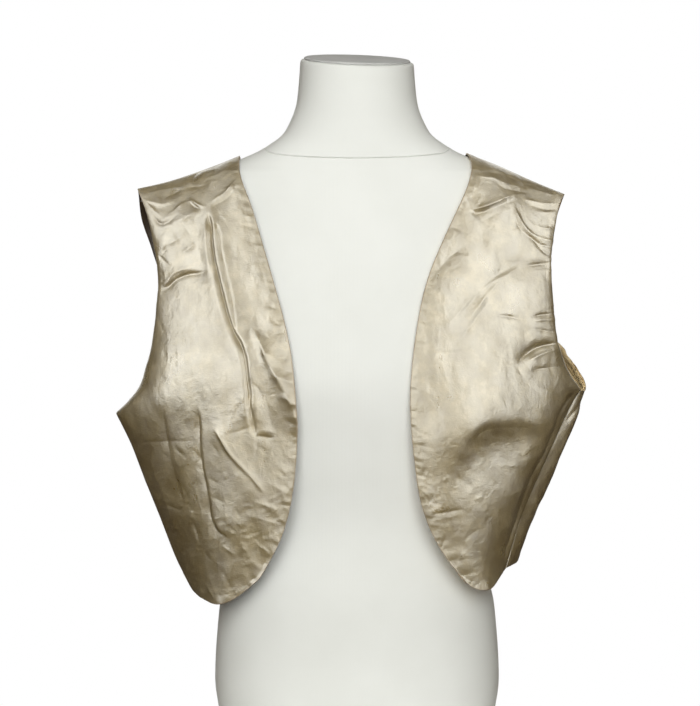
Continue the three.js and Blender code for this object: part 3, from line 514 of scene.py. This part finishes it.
def back_surface(s, t, margin):
    right_shoulder, left_shoulder, neckline = (
        curve_through(edge) for edge in (RIGHT["shoulder"], LEFT["shoulder"], NECKLINE))

    def top(share):
        middle = neckline((share - SHOULDER_SHARE) / (1 - 2 * SHOULDER_SHARE))
        right = right_shoulder(share / SHOULDER_SHARE)
        left = left_shoulder((1 - share) / SHOULDER_SHARE)
        point = np.where((share < SHOULDER_SHARE)[..., None], right, middle)
        return np.where((share > 1 - SHOULDER_SHARE)[..., None], left, point)

    point = blend_edges(
        outer_edge(curve_through(RIGHT["side_seam"]), curve_through(RIGHT["back_armhole"])),
        outer_edge(curve_through(LEFT["side_seam"]), curve_through(LEFT["back_armhole"])),
        curve_through(BACK_HEM), top, s, t, BACK_LOCALNESS)
    inside = smoothstep(0, 0.06, np.minimum(s, 1 - s))
    point = relaxed(point, inside * smoothstep(1, 0.94, t), 300, 0)
    point = relaxed(point, inside * smoothstep(0, 0.08, t) * smoothstep(1, 0.92, t), 150, 1)
    point[..., 0] += column(BACK_HEIGHT, BACK_LEFT_ROLL, t) * hump(s, 0.94, 26)
    stand_out = (column(BACK_HEIGHT, BACK_RIGHT_WING, t) * hump(s, 0.22, 6)
                 + column(BACK_HEIGHT, BACK_LEFT_WING, t) * hump(s, 0.76, 6)
                 + column(BACK_HEIGHT, BACK_SPINE, t) * hump(s, 0.5, 5)
                 + softened(crease_field(point[..., 0], point[..., 2], BACK_FOLDS, 2.0), 24)
                 * (1 - smoothstep(0.9, 1, t)))
    stand_out = stand_out * np.minimum(1, np.minimum(s, 1 - s) / 0.05)
    point[..., 1] = rest_on_form(point, 1, stand_out, t, margin)
    return point


def normals_of(points, outward):
    across, up = np.gradient(points, axis=0), np.gradient(points, axis=1)
    normal = np.cross(across, up) * outward
    return normal / np.maximum(np.linalg.norm(normal, axis=-1, keepdims=True), 1e-9)


def run_lengths(points, axis):
    """Distance of each grid point from the first one of its line, and the line's length."""
    steps = np.linalg.norm(np.diff(points, axis=axis), axis=-1)
    start = np.zeros_like(np.take(steps, [0], axis=axis))
    run = np.concatenate([start, np.cumsum(steps, axis=axis)], axis=axis)
    return run, np.take(run, [-1], axis=axis)


def runs_of(plain, t):
    """Runs across and up the cloth, each with its line's length, then how far below and above
    the underarm a place is."""
    up, height = run_lengths(plain, 1)
    underarm = np.take(up, [np.searchsorted(t[0], UNDERARM)], axis=1)
    return (*run_lengths(plain, 0), up, height, np.maximum(0, underarm - up),
            np.maximum(0, up - underarm))


# ---- Creases -------------------------------------------------------------------------

def crease_field(x, z, creases, roundness=1.05, crest=0.4):
    """Height of all creases at the places given, each with its own slope to either side."""
    field = np.zeros_like(x)
    for number, (rise, left, right, path) in enumerate(creases):
        line = smooth_line(path, 5) if len(path) > 2 else np.asarray(path, float)
        reach = 3.4 * max(left, right)
        low, high = line.min(0) - reach, line.max(0) + reach
        near = (x > low[0]) & (x < high[0]) & (z > low[1]) & (z < high[1])
        if not near.any():
            continue
        px, pz = x[near], z[near]
        lengths = np.linalg.norm(np.diff(line, axis=0), axis=1)
        whole = lengths.sum()
        nearest = np.full(px.shape, 1e9)
        side, along, passed = np.zeros_like(px), np.zeros_like(px), 0.0
        for (ax, az), (bx, bz), length in zip(line[:-1], line[1:], lengths):
            if length < 1e-6:
                continue
            dx, dz = (bx - ax) / length, (bz - az) / length
            u = np.clip((px - ax) * dx + (pz - az) * dz, 0, length)
            away = np.hypot(px - ax - u * dx, pz - az - u * dz)
            closer = away < nearest
            nearest = np.where(closer, away, nearest)
            side = np.where(closer, dx * (pz - az) - dz * (px - ax), side)
            along = np.where(closer, passed + u, along)
            passed += length
        end = min(0.45 * whole, 12 + 1.5 * max(left, right))
        taper = smoothstep(0, end, along) * smoothstep(0, end, whole - along)
        away = np.sqrt(nearest**2 + crest**2) - crest
        waver = 0.22 * np.sin(along / 9.0 + 1.7 * number) + 0.12 * np.sin(along / 4.1 + number)
        uneven = 1 + waver * min(1, 1.5 / abs(rise)) * np.exp(-away / 6)
        width = np.where(side > 0, left, right)
        field[near] += rise * taper * uneven * np.exp(-((away / width) ** roundness))
    return field


def softened(field, passes):
    """Evens a field out between neighbours on its grid."""
    for _ in range(passes):
        wide = np.pad(field, 1, "edge")
        around = wide[:-2, 1:-1] + wide[2:, 1:-1] + wide[1:-1, :-2] + wide[1:-1, 2:]
        field = field / 2 + around / 8
    return field


def edge_puckers(rng, edge, inward, spacing, length, slant, width, rise):
    """Short creases running in from an edge, uneven in place, length, slant and height."""
    steps = np.linalg.norm(np.diff(edge, axis=0), axis=1)
    run = np.concatenate([[0], np.cumsum(steps)])

    def place(length):
        return np.array([np.interp(length, run, edge[:, k]) for k in range(2)])

    rows, at = [], rng.uniform(0, spacing)
    while at < run[-1]:
        start = place(at)
        tangent = (place(at + 2) - start) + (start - place(at - 2))
        tangent /= max(np.linalg.norm(tangent), 1e-6)
        across = np.array([-tangent[1], tangent[0]]) * inward
        turn = math.radians(slant + rng.normal(0, 13))
        way = across * math.cos(turn) + tangent * math.sin(turn)
        reach = rng.uniform(*length)
        height = rng.uniform(*rise) * (1 if rng.random() < 0.45 else -1)
        wide = rng.uniform(*width)
        begin, end = start - way * reach * 0.35, start + way * reach
        bow = np.array([-way[1], way[0]]) * rng.normal(0, 0.08) * reach
        rows.append((height, wide, wide * rng.uniform(0.8, 1.5),
                     [tuple(begin), tuple((begin + end) / 2 + bow), tuple(end)]))
        at += spacing * rng.uniform(0.55, 1.5)
    return rows


def scattered(rng, count, x_range, z_range, heading, spread, length, width, rise):
    """Small creases strewn over a region, most of them running one way."""
    rows = []
    for _ in range(count):
        middle = np.array([rng.uniform(*x_range), rng.uniform(*z_range)])
        turn = math.radians(heading + rng.normal(0, spread))
        half = rng.uniform(*length) / 2
        way = np.array([math.cos(turn), math.sin(turn)]) * half
        bow = np.array([-way[1], way[0]]) * rng.normal(0, 0.1)
        wide = rng.uniform(*width)
        height = rng.uniform(*rise) * rng.choice([-1, 1])
        rows.append((height, wide, wide * rng.uniform(0.7, 2.0),
                     [tuple(middle - way), tuple(middle + bow), tuple(middle + way)]))
    return rows


def crumple(x, z, seed, strength=1.0):
    """Soft dents, slack waves and small sharp wrinkles of stiff, much-folded cloth."""
    soft = 0.5 * noise(x, z, 34, seed) + 0.24 * noise(x, z, 17, seed + 1)
    bent = x + 5 * noise(x, z, 22, seed + 2), z + 5 * noise(x, z, 22, seed + 3)
    slack = 1 + smoothstep(350, 250, z)
    ridged = 0.15 * slack * (0.5 - np.abs(noise(bent[0], bent[1], 15, seed + 4)))
    patch = smoothstep(-0.2, 0.5, noise(x, z, 45, seed + 5))
    fine = 0.12 * slack * (0.5 - np.abs(noise(bent[0], bent[1], 6.5, seed + 6))) * (0.4 + patch)
    streaks = 0.2 * noise(x + 0.2 * z, 0.3 * z, 8, seed + 7)
    return strength * (soft + ridged + fine + streaks)


# ---- Meshes --------------------------------------------------------------------------

def shares(count, length, first=(0.0, 0.3, 0.8, 1.6)):
    """Shares of a length: even in the middle, with a few close lines at both ends."""
    first = np.array(first) / length
    middle = np.linspace(2.6 / length, 1 - 2.6 / length, count + 1 - count % 2)
    return np.concatenate([first, middle, 1 - first[::-1]])


def grid(lines, span):
    return np.meshgrid(shares(lines[0], span[0]), shares(lines[1], span[1]), indexing="ij")


def resting_margin(edge):
    """Middle of the cloth to the form, by the distance from the nearest edge."""
    return EDGE_MARGIN + (REST_MARGIN - EDGE_MARGIN) * smoothstep(0, MARGIN_RUN, edge)


def make_object(name, points, faces, materials, face_materials=None):
    mesh = bpy.data.meshes.new(name)
    mesh.from_pydata((points * MM).tolist(), [], faces)
    for material in materials:
        mesh.materials.append(material)
    if face_materials is not None:
        mesh.polygons.foreach_set("material_index", face_materials.astype(np.int32))
    mesh.polygons.foreach_set("use_smooth", np.ones(len(faces), bool))
    mesh.update()
    obj = bpy.data.objects.new(name, mesh)
    bpy.context.scene.collection.objects.link(obj)
    return obj


def grid_faces(index):
    a, b, c, d = index[:-1, :-1], index[1:, :-1], index[1:, 1:], index[:-1, 1:]
    return np.stack([a, b, c, d], -1).reshape(-1, 4)


def border(index):
    return np.concatenate([index[:, 0], index[-1, 1:], index[-2::-1, -1], index[0, -2:0:-1]])


def wall_object(name, outer, inner, outward, materials, rim):
    """A closed thin wall. Its inner face has every other row and column of the outer one."""
    inner = inner[::2, ::2]
    out_index = np.arange(outer.shape[0] * outer.shape[1]).reshape(outer.shape[:2])
    in_index = out_index.size + np.arange(inner.shape[0] * inner.shape[1]).reshape(inner.shape[:2])
    ring, low_ring = border(out_index), border(in_index)
    after, low_after = np.roll(ring, -2)[::2], np.roll(low_ring, -1)
    rim_faces = np.stack([ring[::2], low_ring, low_after, after, ring[1::2]], -1)
    faces = grid_faces(out_index).tolist() + grid_faces(in_index)[:, ::-1].tolist()
    outer_count = (outer.shape[0] - 1) * (outer.shape[1] - 1)
    lined = np.zeros(len(faces) + len(rim_faces))
    lined[outer_count:len(faces)] = len(materials) - 1
    faces += rim_faces.tolist()
    if outward < 0:
        faces = [face[::-1] for face in faces]
    points = np.vstack([outer.reshape(-1, 3), inner.reshape(-1, 3)])
    obj = make_object(name, points, faces, materials, lined)
    layer = obj.data.attributes.new("rim_mm", "FLOAT", "POINT")
    values = np.concatenate([rim.reshape(-1), rim[::2, ::2].reshape(-1)])
    layer.data.foreach_set("value", values.astype(np.float32))
    return obj


def lowest_nearby(field, reach):
    """The least of each value's neighbours, up to a reach of grid steps."""
    for axis in (0, 1):
        padded = np.pad(field, [(reach, reach) if k == axis else (0, 0) for k in (0, 1)], "edge")
        count = field.shape[axis]
        field = np.minimum.reduce([np.take(padded, range(k, k + count), axis=axis)
                                   for k in range(2 * reach + 1)])
    return field


def rounded_half(distance, half):
    """Half thickness that rounds off to nothing at an edge."""
    share = np.clip(distance / (1.6 * half), 0, 1)
    return half * np.maximum(np.sqrt(1 - (1 - share) ** 2), 0.12)


def clear_of_form(points, side):
    """The same points, moved out to where the cloth is clear of the form."""
    points = points.copy()
    out = side * points[..., 1]
    support = side * form_depth(points[..., 0], points[..., 2], side, LEAST_MARGIN)
    points[..., 1] = side * smooth_larger(out, support, 1.5)
    return points


def two_faces(name, points, plain, relief, t, free, seam, seam_width, side, outward, materials):
    """The wall of a piece: the outer face with all its relief, and a smoother one inside."""
    seam_line = np.exp(-((seam / seam_width) ** 2))
    relief = relief + EDGE_CURL * smoothstep(10, 7, free) - SEAM_SINK * seam_line
    edge = np.minimum(free, seam)
    half = rounded_half(edge, CLOTH_HALF)
    normal = normals_of(points, outward)
    on_side = (normal[..., 1] * side > 0)[..., None]
    lowest = lowest_nearby(relief, INNER_REACH)
    smoother = relief + (lowest - relief) * smoothstep(3, 10, edge)
    faces = []
    for height, way in ((relief, 1), (smoother, -1)):
        face = points + normal * height[..., None]
        face = np.where(on_side, clear_of_form(face, side), face)
        face = np.where((t < 1)[..., None], face, plain)
        faces.append(face + normal * (way * half)[..., None])
    return wall_object(name, faces[0], faces[1], outward, materials, free)


def front_piece(name, pattern, folds, creases, outward, seed, materials):
    s, t = grid(FRONT_LINES, FRONT_SPAN)
    plain = front_surface(pattern, folds, s, t, EDGE_MARGIN)
    across, width, up, height, below, above = runs_of(plain, t)
    free = np.minimum.reduce([width - across, up, np.hypot(across, below)])
    seam = np.minimum(height - up, np.hypot(across, above))
    margin = resting_margin(np.minimum(free, seam))
    points = front_surface(pattern, folds, s, t, margin)
    x, z = points[..., 0], points[..., 2]

    rng = np.random.default_rng(seed)
    front_edge, hem, armhole = plain[-1][:, [0, 2]], plain[:, 0][:, [0, 2]], plain[0][:, [0, 2]]
    armhole = armhole[np.searchsorted(t[0], UNDERARM):]
    turn = 1 if outward > 0 else -1
    rows = list(creases)
    rows += edge_puckers(rng, front_edge, turn, 5, (5, 17), 14 * turn, (1.3, 2.4), (0.1, 0.4))
    rows += edge_puckers(rng, front_edge, turn, 16, (18, 34), 20 * turn, (2.2, 4.0), (0.15, 0.5))
    rows += edge_puckers(rng, armhole, -turn, 13, (5, 20), 0, (1.3, 2.8), (0.1, 0.35))
    rows += edge_puckers(rng, hem, turn, 6, (6, 18), 0, (1.3, 2.6), (0.12, 0.45))
    for count, heights, heading, *ranges in FRONT_STREWN:
        rows += scattered(rng, count, (x.min(), x.max()), heights, heading * turn, *ranges)
    relief = crease_field(x, z, rows) + crumple(x, z, seed + 50)
    relief = relief * smoothstep(0, 12, height - up)
    relief = relief * smoothstep(0, 9, np.hypot(across, above))
    return two_faces(name, points, plain, relief, t, free, seam, 1.6, -1, outward, materials)


def back_piece(name, seed, materials):
    s, t = grid(BACK_LINES, BACK_SPAN)
    plain = back_surface(s, t, EDGE_MARGIN)
    across, width, up, height, below, above = runs_of(plain, t)
    on_neck = (s > SHOULDER_SHARE) & (s < 1 - SHOULDER_SHARE)
    past_neck = np.maximum(0, np.abs(s - 0.5) - (0.5 - SHOULDER_SHARE)) * BACK_SPAN[0]
    neck = np.hypot(height - up, past_neck)
    free = np.minimum.reduce([up, np.hypot(across, below), np.hypot(width - across, below), neck])
    seam = np.minimum.reduce([np.hypot(across, above), np.hypot(width - across, above),
                              np.where(on_neck, 1e3, height - up)])
    margin = resting_margin(np.minimum(free, seam))
    points = back_surface(s, t, margin)
    normal = normals_of(points, -1)
    x, z = points[..., 0], points[..., 2]
    behind = smoothstep(-0.1, 0.3, normal[..., 1])

    rng = np.random.default_rng(seed)
    at = np.searchsorted(t[0], UNDERARM)
    hem, neck_edge = plain[:, 0][:, [0, 2]], plain[np.abs(s[:, 0] - 0.5) < 0.12, -1][:, [0, 2]]
    rows = list(BACK_CREASES)
    for line, inward in ((0, -1), (-1, 1)):
        armhole = plain[line, at:][:, [0, 2]]
        rows += edge_puckers(rng, armhole, inward, 7, (6, 18), 0, (1.8, 3), (0.3, 0.8))
    rows += edge_puckers(rng, hem, 1, 7, (6, 22), 0, (1.8, 3.2), (0.3, 0.8))
    rows += edge_puckers(rng, neck_edge, -1, 7, (6, 16), 0, (1.8, 3), (0.3, 0.7))
    rows += scattered(rng, 90, (-200, 200), (440, 620), 20, 50, (12, 40), (2, 4.2), (0.2, 0.7))
    rows += scattered(rng, 110, (-190, 190), (190, 440), 70, 50, (12, 44), (2, 4.4), (0.2, 0.7))
    relief = crease_field(x, z, rows, crest=1.2) * behind
    relief = relief + crease_field(x, z, STRIP_CREASES) * (1 - behind)
    relief = relief + crumple(x + 0.8 * points[..., 1], z, seed + 50, 0.85)
    away_from_sides = np.minimum(np.hypot(across, above), np.hypot(width - across, above))
    relief = relief * smoothstep(0, 14, height - up + np.where(on_neck, 8, 0))
    relief = relief * smoothstep(0, 9, away_from_sides)
    return two_faces(name, points, plain, relief, t, free, seam, 1.8, 1, -1, materials)


def lining_strip(name, at_left, seed, materials):
    """The back's lining inside one armhole, gathered into ribs that run along the edge."""
    away, t = np.meshgrid(np.linspace(0.006, 0.1, 61), np.linspace(0.452, 0.975, 221),
                          indexing="ij")
    s = 1 - away if at_left else away
    points = back_surface(s, t, EDGE_MARGIN)
    outward = 1 if at_left else -1
    normal = normals_of(points, outward)
    depth, rib = 2.4, 6.5
    across, up = run_lengths(points, 0)[0], run_lengths(points, 1)[0]
    bend = 2.2 * noise(up, 0 * up, 26, seed) + 1.4 * noise(across, up, 12, seed + 1)
    ribs = 0.5 - np.abs(np.sin((across + bend) * math.pi / rib)) ** 0.8
    near_underarm = smoothstep(0.72, 0.5, t) * smoothstep(0.45, 0.48, t)
    relief = ribs * (0.3 + 1.4 * near_underarm) * smoothstep(0, 3, across)
    relief = relief + 0.4 * noise(across, up, 9, seed + 2)
    points = points - normal * (depth - relief)[..., None]
    normal = normals_of(points, outward)
    return wall_object(name, points + 0.2 * normal, points - 0.9 * normal, outward, materials,
                       across + 20)


def ring_object(name, rings, material):
    """A closed body through rings of equal count, capped at both ends."""
    levels, sides = rings.shape[:2]
    points = np.vstack([rings.reshape(-1, 3), rings[0].mean(0)[None], rings[-1].mean(0)[None]])
    index = np.arange(levels * sides).reshape(levels, sides)
    nxt = np.roll(index, -1, axis=1)
    walls = np.stack([index[:-1], nxt[:-1], nxt[1:], index[1:]], -1).reshape(-1, 4)
    base, lid = levels * sides, levels * sides + 1
    faces = walls.tolist()
    faces += [[base, int(b), int(a)] for a, b in zip(index[0], nxt[0])]
    faces += [[lid, int(a), int(b)] for a, b in zip(index[-1], nxt[-1])]
    return make_object(name, points, faces, [material])


def form_rings(levels, slopes, leans, insets):
    angle = np.linspace(0, 2 * math.pi, FORM_SIDES, endpoint=False)
    return np.stack([form_point(angle, height, slope, lean, inset)
                     for height, slope, lean, inset in zip(levels, slopes, leans, insets)])


# ---- Materials -----------------------------------------------------------------------

def rgba(red, green, blue):
    return (red, green, blue, 1.0)


class Nodes:
    """Short names for the nodes that the materials and the world here are made of."""

    def __init__(self, owner, output="ShaderNodeOutputMaterial"):
        self.owner = owner
        owner.use_nodes = True
        self.tree = owner.node_tree
        self.tree.nodes.clear()
        self.output = self.tree.nodes.new(output)
        self.coordinates = self.tree.nodes.new("ShaderNodeTexCoord").outputs
        self.place = self.coordinates["Object"]

    def add(self, kind, settings=(), **inputs):
        node = self.tree.nodes.new(kind)
        for key, value in dict(settings).items():
            setattr(node, key, value)
        for key, value in inputs.items():
            self.put(node, key.replace("_", " "), value)
        return node

    def put(self, node, key, value):
        socket = node.inputs[key]
        if isinstance(value, bpy.types.NodeSocket):
            self.tree.links.new(value, socket)
        else:
            socket.default_value = value

    def scaled(self, scale):
        return self.add("ShaderNodeMapping", Vector=self.place, Scale=scale).outputs[0]

    def noise(self, scale, detail=3.0, roughness=0.5, stretch=(1, 1, 1), distortion=0.0):
        node = self.add("ShaderNodeTexNoise", Vector=self.scaled(stretch), Scale=scale,
                        Detail=detail, Roughness=roughness, Distortion=distortion)
        return node.outputs["Fac"]

    def ramp(self, value, stops):
        node = self.add("ShaderNodeValToRGB", Fac=value)
        elements = node.color_ramp.elements
        while len(elements) < len(stops):
            elements.new(0.5)
        for element, (position, color) in zip(elements, stops):
            element.position = position
            element.color = rgba(*color)
        return node.outputs["Color"]

    def span(self, value, low, high, to_low, to_high):
        node = self.add("ShaderNodeMapRange", Value=value)
        for index, number in enumerate((low, high, to_low, to_high), 1):
            self.put(node, index, number)
        return node.outputs[0]

    def mix(self, factor, a, b):
        node = self.add("ShaderNodeMix", {"data_type": "RGBA"})
        for key, value in ((0, factor), (6, a), (7, b)):
            self.put(node, key, value)
        return node.outputs[2]

    def math(self, operation, a, b):
        node = self.add("ShaderNodeMath", {"operation": operation})
        self.put(node, 0, a)
        self.put(node, 1, b)
        return node.outputs[0]

    def sum(self, *parts):
        """The sum of values, each times its weight."""
        total = None
        for value, weight in parts:
            term = self.math("MULTIPLY", value, weight)
            total = term if total is None else self.math("ADD", total, term)
        return total

    def finish(self, height, distance, strength, **inputs):
        shader = self.add("ShaderNodeBsdfPrincipled", **inputs)
        bump = self.add("ShaderNodeBump", Height=height, Distance=distance, Strength=strength)
        self.put(shader, "Normal", bump.outputs[0])
        self.tree.links.new(shader.outputs[0], self.output.inputs["Surface"])
        return self.owner


def new_material(name):
    return Nodes(bpy.data.materials.new(name))


def gold_cloth():
    make = new_material("gold_cloth")
    cloud = make.noise(16, 4, 0.55)
    mottle = make.noise(75, 4, 0.6)
    speck = make.noise(420, 3, 0.6)
    slub = make.noise(260, 2, 0.5, (1, 1, 5))
    wrinkle = make.noise(110, 4, 0.55, (1, 1, 0.7), 0.6)
    tone = make.sum((cloud, 0.4), (mottle, 0.5), (speck, 0.1))
    foil = make.ramp(tone, [(0.38, (0.17, 0.122, 0.05)), (0.5, (0.225, 0.17, 0.075)),
                            (0.6, (0.32, 0.25, 0.125))])
    # Within 1.8 mm of a free edge the colour darkens to brown and the cloth turns rougher: painted
    # shade along the edge's roll.
    rim = make.add("ShaderNodeAttribute", {"attribute_name": "rim_mm"}).outputs["Fac"]
    rim_shade = make.span(rim, 0.3, 1.8, 1.0, 0.0)
    color = make.mix(rim_shade, foil, rgba(0.18, 0.115, 0.05))
    grain = make.sum((speck, 0.2), (slub, 0.25), (wrinkle, 1.0))
    patina = make.noise(38, 3, 0.55, (1, 1, 0.7), 0.4)
    dull = make.span(cloud, 0.4, 0.6, 0.03, -0.03)
    rough = make.sum((make.span(patina, 0.32, 0.68, 0.28, 0.42), 1.0), (dull, 1.0), (rim_shade, 0.35))
    return make.finish(grain, 0.0010, 0.5, Base_Color=color, Roughness=rough, IOR=3.2,
                       Specular_Tint=rgba(1.0, 0.985, 0.93))


def satin_lining():
    make = new_material("satin_lining")
    cloud = make.noise(60, 3, 0.5)
    thread = make.noise(500, 2, 0.5, (1, 1, 8))
    color = make.ramp(cloud, [(0.3, (0.52, 0.37, 0.17)), (0.7, (0.74, 0.58, 0.33))])
    # From x = 0.1 m to x = -0.1 m, towards the wearer's right, the satin darkens to near black:
    # painted shade for the shadow inside the right armhole.
    across = make.add("ShaderNodeSeparateXYZ", Vector=make.place).outputs["X"]
    color = make.mix(make.span(across, -0.1, 0.1, 1.0, 0.0), color, rgba(0.05, 0.032, 0.016))
    rough = make.span(thread, 0.3, 0.7, 0.3, 0.42)
    return make.finish(thread, 0.0003, 0.25, Base_Color=color, Roughness=rough, IOR=1.8)


def white_jersey():
    make = new_material("white_jersey")
    cloud = make.noise(9, 3, 0.5)
    fibre = make.noise(900, 2, 0.6)
    rib = make.add("ShaderNodeTexWave", {"wave_type": "BANDS", "bands_direction": "X"},
                   Vector=make.place, Scale=220.0, Distortion=1.5, Detail=2.0, Detail_Scale=2.0)
    color = make.ramp(cloud, [(0.3, (0.80, 0.81, 0.775)), (0.7, (0.85, 0.86, 0.83))])
    grain = make.sum((rib.outputs["Fac"], 0.4), (fibre, 0.6))
    rough = make.span(fibre, 0.3, 0.7, 0.82, 0.95)
    return make.finish(grain, 0.0003, 0.3, Base_Color=color, Roughness=rough)


def neck_cap():
    make = new_material("neck_cap")
    cloud = make.noise(30, 3, 0.5)
    fibre = make.noise(700, 2, 0.6)
    color = make.ramp(cloud, [(0.3, (0.50, 0.50, 0.495)), (0.7, (0.57, 0.57, 0.56))])
    rough = make.span(fibre, 0.3, 0.7, 0.7, 0.9)
    return make.finish(fibre, 0.0003, 0.3, Base_Color=color, Roughness=rough)


def floor_paint():
    make = new_material("floor_paint")
    make.owner.surface_render_method = "BLENDED"
    radius = make.add("ShaderNodeVectorMath", {"operation": "LENGTH"})
    make.tree.links.new(make.place, radius.inputs[0])
    cover = make.span(radius.outputs["Value"], 0.2, 0.283, 1.0, 0.0)
    cloud = make.noise(5, 2, 0.5)
    color = make.ramp(cloud, [(0.3, (0.84, 0.84, 0.83)), (0.7, (0.88, 0.88, 0.87))])
    return make.finish(cloud, 0.0005, 0.1, Base_Color=color, Roughness=0.6, Alpha=cover)


# ---- Building ------------------------------------------------------------------------

gold, lining, jersey = gold_cloth(), satin_lining(), white_jersey()

level_top = 590        # the torso's rings slope more and more above this height
trunk = np.concatenate([[0, 1.2, 3, 6], np.linspace(10, level_top, 74)])
shoulder_share = np.concatenate([np.linspace(0, 1, 30)[1:-1], [0.985, 0.993, 0.998, 1.0]])
torso_levels = np.concatenate(
    [trunk, level_top + (NECK_SEAM_HEIGHT - JOINT_GAP - level_top) * shoulder_share])
torso_slopes = np.concatenate([np.zeros(len(trunk)), NECK_SEAM_SLOPE * shoulder_share])
near_base = np.clip(1 - torso_levels / BASE_ROUNDING, 0, 1)
torso_insets = BASE_ROUNDING * (1 - np.sqrt(1 - near_base**2))
torso_insets[-4:] += np.array([0.0, 0.1, 0.35, 1.0])
torso = ring_object("torso_cover", form_rings(
    torso_levels, torso_slopes, np.zeros(len(torso_levels)), torso_insets), jersey)

neck_share = np.concatenate([[0, 0.004, 0.012, 0.025], np.linspace(0.05, 0.95, 36),
                             [0.975, 0.99, 1.0]])
neck_insets = np.zeros(len(neck_share))
neck_insets[:4] = (1.0, 0.35, 0.1, 0.0)
neck_insets[-3:] = (0.2, 0.8, 2.6)
neck = ring_object("neck_cover", form_rings(
    NECK_SEAM_HEIGHT + (NECK_TOP_HEIGHT - NECK_SEAM_HEIGHT) * neck_share,
    NECK_SEAM_SLOPE + (NECK_TOP_SLOPE - NECK_SEAM_SLOPE) * neck_share,
    NECK_TOP_LEAN * neck_share, neck_insets), jersey)

cap_rise = np.array([0.0, 0.4, 1.2, 2.0, 2.5])
cap = ring_object("neck_cap_cover", form_rings(
    NECK_TOP_HEIGHT + JOINT_GAP + cap_rise, np.full(5, NECK_TOP_SLOPE), np.full(5, NECK_TOP_LEAN),
    np.array([4.6, 4.0, 3.8, 4.2, 5.6])), neck_cap())

right_front = front_piece("right_front", RIGHT, RIGHT_FOLDS, RIGHT_CREASES, 1, 11, [gold, lining])
left_front = front_piece("left_front", LEFT, LEFT_FOLDS, LEFT_CREASES, -1, 23, [gold, lining])
back = back_piece("back", 37, [gold, lining])
right_lining = lining_strip("right_armhole_lining", False, 61, [lining])
left_lining = lining_strip("left_armhole_lining", True, 67, [lining])

for piece, node, slot in (
        (torso, "form_torso", "white_jersey"), (neck, "form_neck", "white_jersey"),
        (cap, "form_neck_cap", "neck_cap"), (right_front, "bolero_front_right", "gold_cloth"),
        (left_front, "bolero_front_left", "gold_cloth"), (back, "bolero_back", "gold_cloth"),
        (right_lining, "armhole_lining_right", "satin_lining"),
        (left_lining, "armhole_lining_left", "satin_lining")):
    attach(piece, "root")
    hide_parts(node)

# ---- Stage, light and camera ---------------------------------------------------------

angle = np.linspace(0, 2 * math.pi, FLOOR_SIDES, endpoint=False)
disc = np.stack([np.cos(angle) * FLOOR_RADIUS, np.sin(angle) * FLOOR_RADIUS,
                 np.full(FLOOR_SIDES, -JOINT_GAP)], -1)
floor = make_object("floor", disc, [list(range(FLOOR_SIDES))], [floor_paint()])


def soft_light(name, place, aim, size, power, lights_up=True, seen_in_sheen=True):
    data = bpy.data.lights.new(name, "AREA")
    data.shape = "RECTANGLE"
    data.size, data.size_y = size
    data.energy = power
    data.color = (0.985, 1.0, 0.985)
    light = bpy.data.objects.new(name, data)
    light.location = place
    way = np.array(aim, float) - np.array(place, float)
    flat = math.hypot(way[0], way[1])
    light.rotation_euler = (math.atan2(flat, -way[2]), 0, math.atan2(-way[0], way[1]))
    light.visible_camera = False
    light.visible_diffuse, light.visible_glossy = lights_up, seen_in_sheen
    bpy.context.scene.collection.objects.link(light)


# One tall soft panel lights everything from the front. Three more in an arc and two overhead
# show only in the cloth's sheen; for views of the back, one behind shows only in the sheen and one
# only lights.
soft_light("front", (0, -2.4, 1.3), (0, 0, 1.0), (2.2, 2.4), 71, seen_in_sheen=False)
ARC = 2.4              # metres from the form's axis
for name, azimuth, center, width, tall, power in (
        ("sheen_left", -56, 1.45, 2.0, 2.6, 44), ("sheen_front", 0, 1.2, 1.9, 3.1, 32),
        ("sheen_right", 54, 1.45, 2.0, 2.6, 42)):
    turn = math.radians(azimuth)
    place = (ARC * math.sin(turn), -ARC * math.cos(turn), center)
    soft_light(name, place, (0, 0, center), (width, tall), power, lights_up=False)
for name, side in (("top_left", -1), ("top_right", 1)):
    soft_light(name, (1.3 * side, -0.3, 2.5), (0, 0, 0.6), (1.0, 1.2), 3.2, lights_up=False)
soft_light("sheen_behind", (0, 2.4, 1.45), (0, 0, 1.45), (3.6, 2.6), 46, lights_up=False)
soft_light("behind", (0, 2.6, 0.6), (0, 0, 0.5), (1.8, 1.8), 46, seen_in_sheen=False)

# White behind everything for the camera, and a dim warm glow for all that the cloth reflects.
world = bpy.data.worlds.new("studio")
bpy.context.scene.world = world
make = Nodes(world, "ShaderNodeOutputWorld")
height = make.add("ShaderNodeSeparateXYZ", Vector=make.coordinates["Generated"]).outputs["Z"]
glow = make.ramp(make.span(height, -1.0, 1.0, 0.0, 1.0), [
    (0.4, (0.05, 0.033, 0.018)), (0.56, (0.13, 0.11, 0.08)), (0.8, (0.12, 0.105, 0.085))])
choose = make.add("ShaderNodeMixShader")
for index, value in enumerate((
        make.add("ShaderNodeLightPath").outputs["Is Camera Ray"],
        make.add("ShaderNodeBackground", Color=glow, Strength=1.0).outputs[0],
        make.add("ShaderNodeBackground", Color=rgba(1, 1, 1), Strength=1.0).outputs[0])):
    make.put(choose, index, value)
make.put(make.output, "Surface", choose.outputs[0])

camera_data = bpy.data.cameras.new("camera")
camera_data.lens = 120.5
camera_data.sensor_width = 36
camera = bpy.data.objects.new("camera", camera_data)
camera.location = (-0.0077, -2.6, 0.4312)
camera.rotation_euler = (math.pi / 2, 0, 0)
bpy.context.scene.collection.objects.link(camera)
bpy.context.scene.camera = camera
bpy.context.scene.view_settings.view_transform = "Standard"
